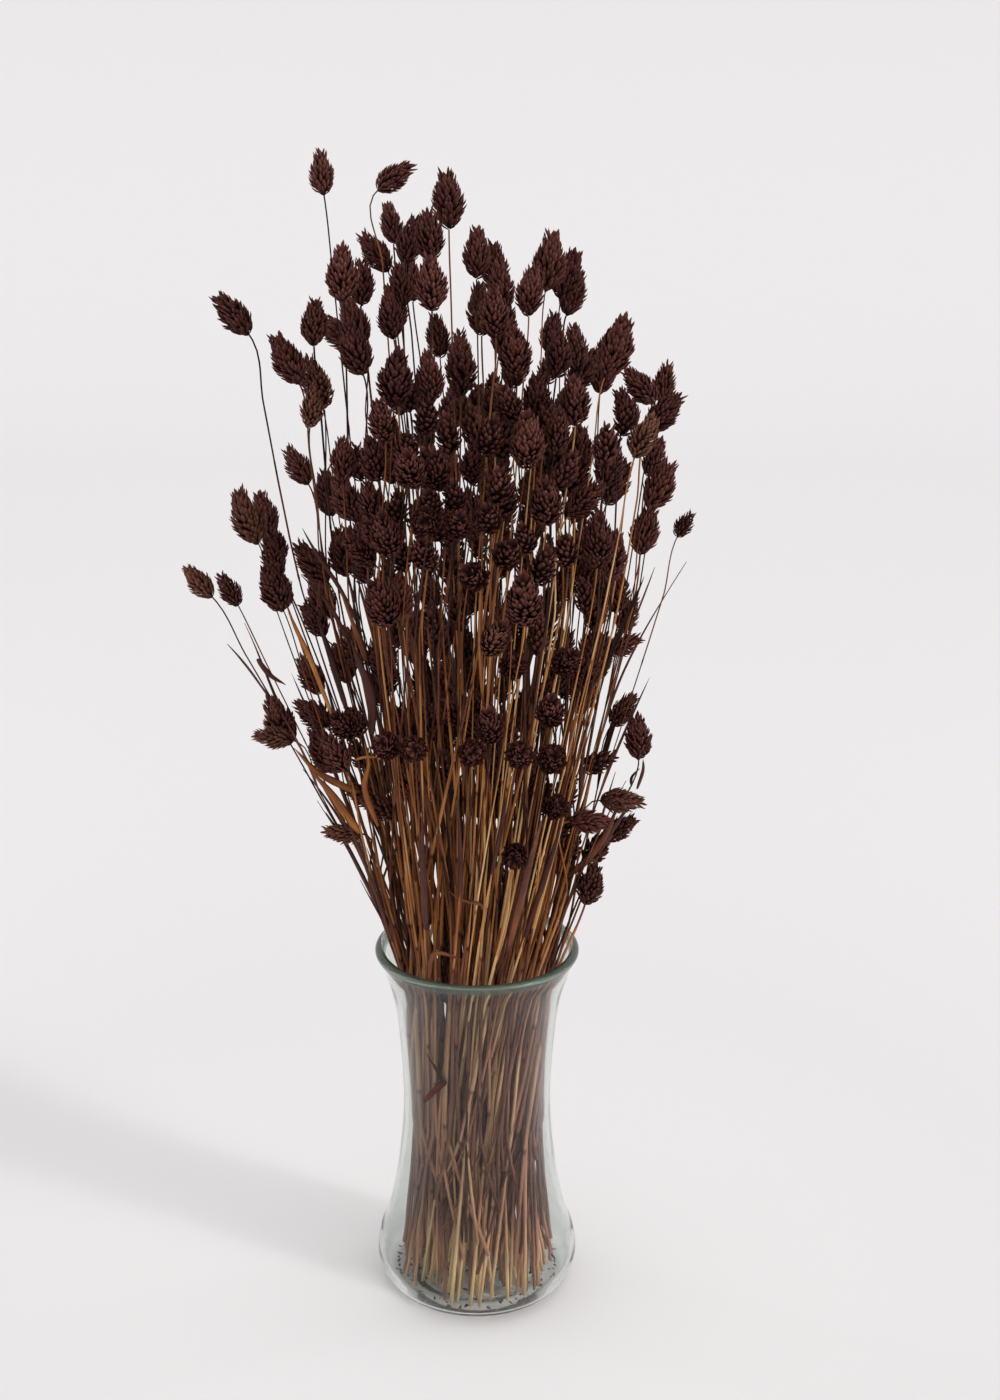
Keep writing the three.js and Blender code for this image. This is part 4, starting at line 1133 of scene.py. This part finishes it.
# %% [markdown]
# ### Papery scales
# A scale is dark at its base, painted shade where it is tucked under its neighbours, and paler at
# its tip, so its tone follows the share of the way up it. Each scale also has a tone of its own, and
# fine fibres along it. The head's tint blends from the burgundy tones to the warm ones.

# %% Scales
SCALE_TONES = [
    (0.0, (0.013, 0.0046, 0.0042)),
    (0.4, (0.070, 0.0220, 0.0180)),
    (0.8, (0.175, 0.0590, 0.0460)),
    (1.0, (0.330, 0.1450, 0.1100)),
]
WARM_TONES = [
    (0.0, (0.030, 0.013, 0.009)),
    (0.5, (0.150, 0.060, 0.038)),
    (1.0, (0.340, 0.160, 0.100)),
]


def scale_finish():
    """Tone rises from the base of a scale, painted shade where it is tucked in, to its tip; each scale
    has its own share.
    """
    material, f = new_finish("papery_scale")
    _, own, up, warm = vector_parts(f, "look")
    grain, _, _, _ = vector_parts(f, "grain")
    fibre = noise(f, grain, 1.0, (2.6, 0.5, 1.0))
    # Painted shade: a low share of the way up a scale darkens its tucked-in base.
    shade = 0.08 + 0.62 * up + 0.42 * (own - 0.5) + 0.4 * (fibre - 0.5)
    colour = warm.step(0.1, 0.9).blend(shade.ramp(*SCALE_TONES), shade.ramp(*WARM_TONES))
    close_finish(f, colour, 0.8 - 0.2 * own, fibre, 0.3, **{"Specular IOR Level": 0.1})
    return material


# %% [markdown]
# ### Dried leaves
# A dry blade has parallel veins, and its dye is as blotched as the straw's. Its colours go from the
# dark of the dyed stems to the orange-brown of plain dry grass, and it darkens towards its tip.

# %% Leaves
BLADE_TONES = [
    (0.0, (0.026, 0.010, 0.010)),
    (0.4, (0.100, 0.034, 0.024)),
    (0.7, (0.290, 0.098, 0.028)),
    (1.0, (0.600, 0.270, 0.075)),
]


def blade_finish():
    """Veins run along the strip, blotches lie across it, and its tip is darker."""
    material, f = new_finish("dried_leaf")
    _, tone, share, _ = vector_parts(f, "look")
    grain, _, _, _ = vector_parts(f, "grain")
    veins = noise(f, grain, 1.0, (2.4, 1.0, 0.06), 3.0)
    blotch = noise(f, grain, 1.0, (0.3, 1.0, 0.08))
    shade = tone + 0.5 * (veins - 0.5) + 0.6 * (blotch - 0.5) - 0.12 * share
    colour = shade.ramp(*BLADE_TONES)
    close_finish(f, colour, 0.7 - 0.2 * veins, veins, 0.5, **{"Specular IOR Level": 0.15})
    return material


finishes = [straw_finish(), scale_finish(), blade_finish()]
print("finishes:", [m.name for m in finishes])

# %% [markdown]
# ## The sprigs
# Each sprig of the CAD part gets one fine piece: its straws, its heads, and the leaves whose roots
# are on its straws. The piece replaces the coarse node, which stays for collision.

# %% Straws and heads
INNER_PIECES = 4
pieces = [Piece() for _ in range(SPRIGS + INNER_PIECES)]
piece_of = np.concatenate([sprig_of, SPRIGS + np.arange(len(kept)) % INNER_PIECES])
straw_paths = []
scale_count = 0
for i in everyone:
    path, run = straw(pieces[piece_of[i]], i)
    straw_paths.append(path)
    scale_count += seed_head(pieces[piece_of[i]], i)
print("scales on the heads:", scale_count)

# %% [markdown]
# ### Leaves with a root
# The leaves that the CAD part has are listed as turn round the axis in degrees, height, length,
# width, and how far they lean away. Each grows on the stem that stands furthest out on its side.

# %% Leaves that the CAD part has
LEAVES = [
    [192, 225, 70, 5, 0.15], [176, 245, 64, 4.5, 0.3], [204, 300, 50, 4.5, 0.25],
    [170, 330, 50, 4.5, 0.3], [212, 215, 90, 5, 0.1], [350, 232, 70, 4.5, 0.1],
    [332, 240, 60, 4.5, 0.3], [15, 290, 55, 4.5, 0.2], [290, 222, 90, 5, 0.1],
    [252, 235, 85, 5, 0.1], [58, 230, 80, 4.5, 0.15], [108, 260, 70, 4.5, 0.2],
    [142, 225, 80, 5, 0.15],
]
LEAF_TONE = (0.1, 0.5)
LEAF_DROOP = 0.1
LEAF_SWAY = 0.12
LEAF_FOLD = 0.5
LEAF_TWIST = 1.2


def root_on_straw(i, height):
    """Point and direction of straw i at a height."""
    path = straw_paths[i]
    point = np.array([np.interp(height, path[:, 2], path[:, c]) for c in range(3)])
    above = np.array([np.interp(height + 6, path[:, 2], path[:, c]) for c in range(3)])
    return point, unit(above - point)


def outermost(outward, height):
    """The stem that stands furthest out in a direction at a height."""
    k = np.minimum(np.searchsorted(BEND_HEIGHTS[1:], height), bends - 1)
    low, high = stem_points[everyone, k], stem_points[everyone, k + 1]
    t = (height - low[:, 2]) / (high[:, 2] - low[:, 2])
    reach = (low + t[:, None] * (high - low))[:, :2] @ outward[:2]
    tall = (stem_points[everyone, bends, 2] >= height + SHORTEST_TOP) & ~inside
    return int(np.argmax(np.where(tall, reach, -1e9)))


for n, (turn, height, length, width, away) in enumerate(LEAVES):
    outward = np.array([np.cos(np.radians(turn)), np.sin(np.radians(turn)), 0])
    i = outermost(outward, height)
    point, tangent = root_on_straw(i, height)
    sway = LEAF_SWAY * (2 * draw(n, 61) - 1)
    path = leaf_path(point, tangent, outward, length, away, LEAF_DROOP, sway)
    look = (mix(*LEAF_TONE, draw(n, 62)), 0)
    twist = LEAF_TWIST * (2 * draw(n, 63) - 1)
    strip(pieces[piece_of[i]], path, width, outward, LEAF_FOLD, twist, look)
print("leaves:", len(LEAVES))

# %% Strips along the straws
STRIPS_SHARE = 0.3
STRIP_LOWEST = 195
STRIP_HIGHEST = 400
STRIP_BELOW_HEAD = 60
STRIP_TURN = 1.6
STRIP_LENGTH = (45, 105)
STRIP_AWAY = (0.02, 0.22)
STRIP_DROOP = (0, 0.4)
STRIP_SWAY = 0.2
STRIP_TONE = (0.05, 0.4)
STRIP_TONE_GOLD_AND_LIGHT = 0.5
STRIP_WIDTH = (1.5, 3.6)
STRIP_FOLD = 0.6
STRIP_TWIST = 1.5

strips = 0
for i in np.flatnonzero(draw(everyone, 51) < STRIPS_SHARE):
    highest = stem_points[i, bends[i], 2] - STRIP_BELOW_HEAD
    if highest < STRIP_LOWEST:
        continue
    height = mix(STRIP_LOWEST, min(highest, STRIP_HIGHEST), draw(i, 52))
    point, tangent = root_on_straw(i, height)
    angle = np.arctan2(point[1], point[0]) + STRIP_TURN * (2 * draw(i, 53) - 1)
    outward = np.array([np.cos(angle), np.sin(angle), 0])
    length = mix(*STRIP_LENGTH, draw(i, 54))
    away, droop = mix(*STRIP_AWAY, draw(i, 55) ** 2), mix(*STRIP_DROOP, draw(i, 56) ** 3)
    sway = STRIP_SWAY * (2 * draw(i, 57) - 1)
    path = leaf_path(point, tangent, outward, length, away, droop, sway)
    # Painted light: like the straws, strips at the front of the middle can be paler and more golden.
    palest = STRIP_TONE[1] + STRIP_TONE_GOLD_AND_LIGHT * central[i] * front[i]
    look = (mix(STRIP_TONE[0], palest, draw(i, 58)), 0)
    width = mix(*STRIP_WIDTH, draw(i, 59) ** 1.5)
    twist = STRIP_TWIST * (2 * draw(i, 60) - 1)
    strip(pieces[piece_of[i]], path, width, outward, STRIP_FOLD, twist, look)
    strips += 1
print("strips:", strips)

# %% [markdown]
# ### Leaves one by one
# Some dry leaves are plain to see in the photograph: crossed and curled ones on the left, a thick
# curled sheath on the right, a bent one over the rim, and a folded one at the vase's waist. They
# are listed as depth behind the axis, width, tone, and the points that they pass through, across
# and up. The folded one lies inside the glass in the photograph, but its depth here puts it just
# outside the wall.

# %% Leaves that the photograph shows
SEEN_STEPS = 5
SEEN_FOLD = 0.5
SEEN_TWIST = 0.9
SEEN_LEAVES = [
    [-30, 2.2, 0.4, (-57.0, 387.3), (-68.0, 410.3), (-77.9, 425.9), (-85.3, 439.9)],
    [-30, 2.4, 0.3, (-63.1, 380.6), (-70.7, 397.0), (-77.4, 406.7), (-86.5, 416.3)],
    [-32, 1.6, 0.35, (-77.2, 413.8), (-77.9, 405.2), (-79.1, 397.0)],
    [-20, 3.0, 0.4, (-110.8, 370.5), (-104.6, 362.1), (-96.6, 356.8)],
    [-35, 3.4, 0.15, (-64.5, 346.2), (-69.6, 364.5), (-74.2, 381.0), (-79.2, 397.3)],
    [-45, 5.2, 0.3, (-52.1, 339.0), (-52.2, 359.2), (-57.4, 374.6), (-62.0, 388.4)],
    [-40, 3.0, 0.6, (-54.7, 375.2), (-59.8, 391.6), (-67.2, 412.8)],
    [-40, 2.6, 0.85, (-72.1, 346.8), (-81.8, 375.2), (-88.3, 390.6), (-92.8, 402.2)],
    [-30, 4.0, 0.65, (-61.1, 302.8), (-71.2, 307.7), (-81.7, 314.2), (-92.5, 326.5)],
    [-35, 5.0, 0.7, (-59.7, 282.4), (-68.1, 294.9), (-74.5, 304.7), (-83.8, 316.0)],
    [-60, 1.5, 0.75, (-59.8, 330.6), (-54.3, 332.1), (-45.1, 331.6)],
    [-45, 3.2, 0.65, (-49.9, 290.1), (-56.1, 309.4), (-53.9, 323.2), (-56.1, 335.3)],
    [-10, 4.2, 0.5, (48.1, 248.2), (56.9, 256.2), (65.1, 268.1), (69.7, 277.1), (73.1, 287.7)],
    [-30, 2.4, 0.3, (52.5, 301.2), (52.8, 312.0), (53.2, 320.6), (52.1, 328.7)],
    [-10, 2.0, 0.4, (83.3, 297.1), (86.1, 307.1), (86.0, 313.7)],
    [-10, 1.6, 0.05, (80.1, 299.4), (80.5, 303.8), (84.5, 308.7)],
    [-55, 2.6, 0.5, (-24.6, 210.5), (-23.0, 222.6), (-18.8, 224.7), (-12.7, 223.0), (-7.1, 220.4)],
    [-60, 1.8, 0.5, (3.0, 251.0), (1.5, 254.0), (-6.0, 255.7), (-11.0, 258.4), (-14.1, 261.3)],
    [-36, 3.4, 0.40, (-28.4, 128.9), (-23.0, 135.2), (-17.6, 140.6), (-17.9, 142.6), (-22.0, 149.0),
     (-27.1, 158.1)],
]


def seen_leaf(piece, row, n):
    """A strip along a smooth curve through a listed leaf's points, at its depth."""
    depth, width, tone = row[:3]
    points = np.array([[x, depth, z] for x, z in row[3:]])
    path = hermite(points, np.gradient(points, axis=0), SEEN_STEPS)
    to_viewer = np.array([0.3 * (2 * draw(n, 64) - 1), -1, 0.3])
    strip(piece, path, width, to_viewer, SEEN_FOLD, SEEN_TWIST * (2 * draw(n, 65) - 1), (tone, 0))


seen = Piece()
for n, row in enumerate(SEEN_LEAVES):
    seen_leaf(seen, row, n)
print("leaves that show:", len(SEEN_LEAVES))

# %% Sprig objects
for s, piece in enumerate(pieces[:SPRIGS]):
    label = f"{s + 1:02d}"
    sprig = piece.build("grass_sprig_" + label, finishes)
    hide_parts("phalaris_sprig_" + label)
for s, piece in enumerate(pieces[SPRIGS:]):
    piece.build(f"inner_grass_{s + 1}", finishes)
seen.build("loose_leaves", finishes)
triangles = [sum(len(f) * (f.shape[1] - 2) for f, _, _ in p.faces) for p in pieces]
print("grass pieces:", len(pieces), "triangles:", sum(triangles), "most in one:", max(triangles))

# %% [markdown]
# ## The vase
# The vase is blown glass: a profile turned round the axis. It has a thick floor and heel, a wall
# that keeps its thickness through bulge and waist, and a fire-polished rim that beads outwards. It
# could be half a profile with a Screw modifier, or a thin skin with Solidify, but neither gives
# both the bead and the thick floor. So the profile is walked up the outside, over the bead and down
# the inside, and the surface is one closed skin with a real wall to refract through. The outline
# points, the height and the floor are the CAD part's.

# %% Vase outline
VASE_HEIGHT = 205
FOOT_RADIUS = 37
HEEL_RADIUS = 19
BULGE_RADIUS = 56
BULGE_HEIGHT = 19
SIDE_OUTLINE = np.array([
    [54.4, 30], [49.8, 43], [44.4, 69], [40.8, 104], [41.3, 136], [44.8, 172], [51.6, 196],
])
BEAD_RADIUS = 2.6
RIM_RADIUS = 55
WALL = 3
INNER_FLOOR_RADIUS = 45
INNER_HEEL = [50, 9.2]
FOOT_HOLLOW = 1.0
VASE_SIDES = 120


def smooth_line(points, steps, first=None, last=None):
    """Curve through points, each tangent running between its neighbours, with end tangents if given."""
    points = np.asarray(points, float)
    tangents = np.gradient(points, axis=0)
    if first is not None:
        tangents[0] = first
    if last is not None:
        tangents[-1] = last
    curve = hermite(np.pad(points, ((0, 0), (0, 1))), np.pad(tangents, ((0, 0), (0, 1))), steps)
    return curve[:, :2]


def arc(centre, radius, start, end, steps):
    """Points of a round stretch, from one angle to another."""
    angle = np.radians(np.linspace(start, end, steps))
    return np.asarray(centre) + radius * np.stack([np.cos(angle), np.sin(angle)], 1)


def vase_outline():
    """The closed profile as radius and height, from the middle of the foot to that of the floor."""
    foot = [[0, FOOT_HOLLOW], [26, FOOT_HOLLOW], [31, 0.3], [33, 0]]
    heel = arc((FOOT_RADIUS, BULGE_HEIGHT), HEEL_RADIUS, -90, 0, 12)[:-1]
    shoulder = np.concatenate([[[BULGE_RADIUS, BULGE_HEIGHT]], SIDE_OUTLINE])
    side = smooth_line(shoulder, 7, first=[0, 14])
    bead = arc((RIM_RADIUS - BEAD_RADIUS, VASE_HEIGHT - BEAD_RADIUS), BEAD_RADIUS, -40, 165, 16)
    low_inside = [[BULGE_RADIUS - WALL, BULGE_HEIGHT], INNER_HEEL, [INNER_FLOOR_RADIUS, FLOOR]]
    wall_inside = np.concatenate([SIDE_OUTLINE[::-1] - [WALL, 0], low_inside])
    inner = smooth_line(wall_inside, 7, last=[-6, -0.5])
    return np.concatenate([foot, heel, side, bead, inner, [[22, FLOOR - 0.2], [0, FLOOR - 0.3]]])


def turned_skin(profile, sides):
    """Points and faces of a profile turned round the axis, closed by a fan at each end."""
    angle = 2 * np.pi * np.arange(sides) / sides
    rings = profile[1:-1]
    points = np.stack([
        rings[:, :1] * np.cos(angle), rings[:, :1] * np.sin(angle), np.repeat(rings[:, 1:], sides, 1)
    ], -1).reshape(-1, 3)
    quads = tube_faces(len(rings), sides)[0]
    first, last = len(points), len(points) + 1
    here, there = np.arange(sides), (np.arange(sides) + 1) % sides
    top = sides * (len(rings) - 1)
    fans = np.stack([there, here, np.full(sides, first)], 1)
    caps = np.stack([top + here, top + there, np.full(sides, last)], 1)
    ends = np.array([[0, 0, profile[0, 1]], [0, 0, profile[-1, 1]]])
    return np.concatenate([points, ends]), [quads, np.concatenate([fans, caps])]


# %% [markdown]
# ### Clear glass
# Clear glass bends and mirrors what is behind it. Lamps would leave its inside dark, because light
# that is bent can't be traced straight back to them, so for shadow rays alone the glass is nearly
# fully transparent. Its mirror light is held down by a grey specular tint, so that the white
# surround doesn't veil the straws.
#
# Soda glass is green where one looks along it. The wall has a faint grey-green tint and the floor
# hardly any. The bead is so thick that in the photograph it is a soft dark green of its own, with
# little to see through it, so there the refracting glass is mixed with a plain smooth surface. Its
# dark green is partly the glass's own green and partly painted reflection of the dark that the bead
# mirrors inside itself.

# %% Glass
GLASS_TINT = (0.78, 0.815, 0.79, 1)
FLOOR_TINT = (0.97, 0.985, 0.975, 1)
BEAD_TINT = (0.60, 0.76, 0.64, 1)
BEAD_GREEN_AND_SHADE = (0.085, 0.110, 0.080, 1)
BEAD_PAINTED_SHARE = 0.6
SHADOW_TINT = (0.98, 0.985, 0.98, 1)
MIRROR_TINT = (0.4, 0.4, 0.4, 1)
BEAD_FROM = (0.1995, 0.2015)
WALL_FROM = (0.006, 0.014)
GLASS_INDEX = 1.46
WAVE_SCALE = 22.0
WAVE_DEPTH = 0.002


def glass_finish():
    """Refracting glass, tinted by height, with a painted dark green in the bead, a little wavy, clear to
    shadow rays.
    """
    material, f = new_finish("clear_glass")
    place = f.add("ShaderNodeTexCoord", {}, {}, out=3)
    height = f.part(place, 2)
    in_bead = height.step(*BEAD_FROM)
    in_wall = height.step(*WALL_FROM)
    colour = in_bead.blend(in_wall.blend(FLOOR_TINT, GLASS_TINT), BEAD_TINT)
    waves = noise(f, place, WAVE_SCALE, (1, 1, 0.5))
    normal = f.add("ShaderNodeBump", {}, {"Height": waves, "Strength": 0.12, "Distance": WAVE_DEPTH})
    clarity = {"Transmission Weight": 1.0, "IOR": GLASS_INDEX, "Roughness": 0.0}
    varying = {"Base Color": colour, "Normal": normal}
    glass = f.add("ShaderNodeBsdfPrincipled", {}, {**varying, **clarity, "Specular Tint": MIRROR_TINT})
    clear = f.add("ShaderNodeBsdfTransparent", {}, {"Color": SHADOW_TINT})
    shadow = f.add("ShaderNodeLightPath", {}, {}, out=1)
    # Painted reflection: the bead's plain dark green surface stands for the dark it mirrors, as well as
    # the glass's own green.
    bead_painted = f.add("ShaderNodeBsdfPrincipled", {}, {"Base Color": BEAD_GREEN_AND_SHADE, "Roughness": 0.25})
    body = f.add("ShaderNodeMixShader", {}, {0: BEAD_PAINTED_SHARE * in_bead, 1: glass, 2: bead_painted})
    surface = f.add("ShaderNodeMixShader", {}, {0: shadow, 1: body, 2: clear})
    f.add("ShaderNodeOutputMaterial", {}, {"Surface": surface})
    return material


profile = vase_outline()
skin, skin_faces = turned_skin(profile, VASE_SIDES)
vase = Piece()
vase.add(skin, skin_faces, np.zeros(3), skin, 0)
vase_piece = vase.build("glass_vase", [glass_finish()])
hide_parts("vase")
print("vase outline points:", len(profile))

# %% [markdown]
# ## Chaff on the floor of the vase
# Dry heads shed. Loose scales have fallen past the straws and gathered on the glass floor, most of
# them against the wall. A particle system could strew them, but its seeds are harder to repeat.
# They are the heads' own scale, turned to a drawn heading and laid flat or nearly so.

# %% Chaff
CHAFF = 300
CHAFF_REACH = 45.5
CHAFF_INWARD = 0.75
CHAFF_ABOVE_FLOOR = 0.45
CHAFF_RISE = 0.25
CHAFF_LYING_FLAT = 0.3
CHAFF_LENGTH = (1.2, 3.6)
CHAFF_WIDTH = 0.24
CHAFF_WARM = 0.7

k = np.arange(CHAFF)
angle = 2 * np.pi * draw(k, 71)
reach = CHAFF_REACH * (1 - CHAFF_INWARD * draw(k, 72) ** 3)
heading = 2 * np.pi * draw(k, 73)
rise = CHAFF_RISE * (draw(k, 74) - CHAFF_LYING_FLAT)
lift = np.full(CHAFF, FLOOR + CHAFF_ABOVE_FLOOR)
origin = np.stack([reach * np.cos(angle), reach * np.sin(angle), lift], 1)
direction = unit(np.stack([np.cos(heading), np.sin(heading), np.maximum(rise, 0)], 1))
out = np.tile([0.0, 0, 1], (CHAFF, 1))
out = unit(out - (out * direction).sum(1)[:, None] * direction)
chaff = Piece()
chaff_look = np.stack([draw(k, 75), 0 * k, CHAFF_WARM * draw(k, 76)], 1)
chaff_length = mix(*CHAFF_LENGTH, draw(k, 77))
scales(chaff, origin, direction, out, chaff_length, CHAFF_WIDTH * chaff_length, chaff_look, 0)
chaff_piece = chaff.build("chaff", [finishes[SCALE]])
print("chaff scales:", CHAFF)

# %% [markdown]
# ## Floor and light
# The photograph has a pale seamless ground of one even tone: floor and wall are one sheet that curves
# up far behind the vase. The bunch keeps some of the surround's light from the floor near it, which
# the photograph doesn't show, so the sheet's colour is a little brighter there. A fine noise keeps
# the tone from being quite flat.

# %% Backdrop
SHEET_HALF_WIDTH = 5.0
SHEET_STEPS = 14
SHEET_FRONT = -3.0
SHEET_BEND = 2.6
SHEET_CURVE = 1.4
SHEET_TOP = 5.0
SHEET_NEAR = [(0.844, 0.823, 0.828, 1), (0.854, 0.833, 0.838, 1)]
SHEET_FAR = [(0.834, 0.813, 0.819, 1), (0.844, 0.823, 0.829, 1)]
SHEET_BY_VASE = (0.925, 0.902, 0.907, 1)
BY_VASE_REACH = (0.06, 0.42)
FAR_FROM = (2.0, 3.5)


def backdrop():
    """A sheet that lies flat, then climbs a quarter circle and goes straight up."""
    turn = np.linspace(0.1, np.pi / 2, SHEET_STEPS)
    bend = np.stack([SHEET_BEND + SHEET_CURVE * np.sin(turn), SHEET_CURVE * (1 - np.cos(turn))], 1)
    flat = [[SHEET_FRONT, 0], [SHEET_BEND, 0]]
    line = np.concatenate([flat, bend, [[SHEET_BEND + SHEET_CURVE, SHEET_TOP]]])
    across = SHEET_HALF_WIDTH * np.array([-1, 1])
    points = np.stack(np.broadcast_arrays(across, line[:, :1], line[:, 1:]), -1).reshape(-1, 3)
    low = 2 * np.arange(len(line) - 1)
    faces = np.stack([low, low + 1, low + 3, low + 2], 1)
    mesh = bpy.data.meshes.new("backdrop")
    mesh.from_pydata(points.tolist(), [], faces.tolist())
    mesh.polygons.foreach_set("use_smooth", np.ones(len(faces), bool))
    sheet = bpy.data.objects.new("backdrop", mesh)
    bpy.context.scene.collection.objects.link(sheet)
    material, f = new_finish("pale_ground")
    place = f.add("ShaderNodeTexCoord", {}, {}, out=3)
    grit = noise(f, place, 60.0)
    across, back = [f.part(place, k) for k in (0, 1)]
    away = f.maths("SQRT", across * across + back * back)
    near = away.step(*BY_VASE_REACH).blend(SHEET_BY_VASE, grit.blend(*SHEET_NEAR))
    colour = back.step(*FAR_FROM).blend(near, grit.blend(*SHEET_FAR))
    close_finish(f, colour, 0.9)
    mesh.materials.append(material)


backdrop()

# %% [markdown]
# ### Lamps
# The light is a bright even surround and a key light on the right, a little in front and low, which
# lays a pale soft shadow to the left. The key could be one large area lamp, but its light would
# fall off across the floor. It is made of two sun lamps that shine the same way: a broad one, whose
# shadow fades with distance, and a narrower one of nearly the same power, which keeps an edge on it.
# Two upright soft boxes beside the vase, out of view, give the glass its long bright streaks.

# %% Light
SURROUND = 0.85
KEY_HEIGHT = 30
KEY_SIDE = 28
KEYS = {"key_broad": (0.42, 17), "key_edge": (0.4, 5)}
BOXES = {"box_left": (-1.45, 0.68), "box_right": (1.5, 0.55)}
BOX_POWER = 1.3
BOX_SIZE = (0.08, 1.0)
BOX_FOOT = 0.1

world = bpy.data.worlds.new("surround")
bpy.context.scene.world = world
world.use_nodes = True
world.node_tree.nodes["Background"].inputs["Color"].default_value = (1.0, 1.0, 1.0, 1)
world.node_tree.nodes["Background"].inputs["Strength"].default_value = SURROUND


def lamp(name, kind):
    """A lamp object of a kind."""
    made = bpy.data.objects.new(name, bpy.data.lights.new(name, kind))
    bpy.context.scene.collection.objects.link(made)
    return made


for name, (power, breadth) in KEYS.items():
    key = lamp(name, "SUN")
    key.data.energy = power
    key.data.angle = np.radians(breadth)
    key.rotation_euler = np.radians([90 - KEY_HEIGHT, 0, 90 - KEY_SIDE])
for name, (across, back) in BOXES.items():
    box = lamp(name, "AREA")
    box.data.energy = BOX_POWER
    box.data.shape = "RECTANGLE"
    box.data.size, box.data.size_y = BOX_SIZE
    box.location = (across, back, BOX_FOOT + BOX_SIZE[1] / 2)
    box.rotation_euler = (np.pi / 2, 0, np.arctan2(-across, back) + np.pi)
bpy.context.scene.view_settings.view_transform = "Standard"
print("key lights", KEY_HEIGHT, "degrees up and", KEY_SIDE, "degrees in front of the right")
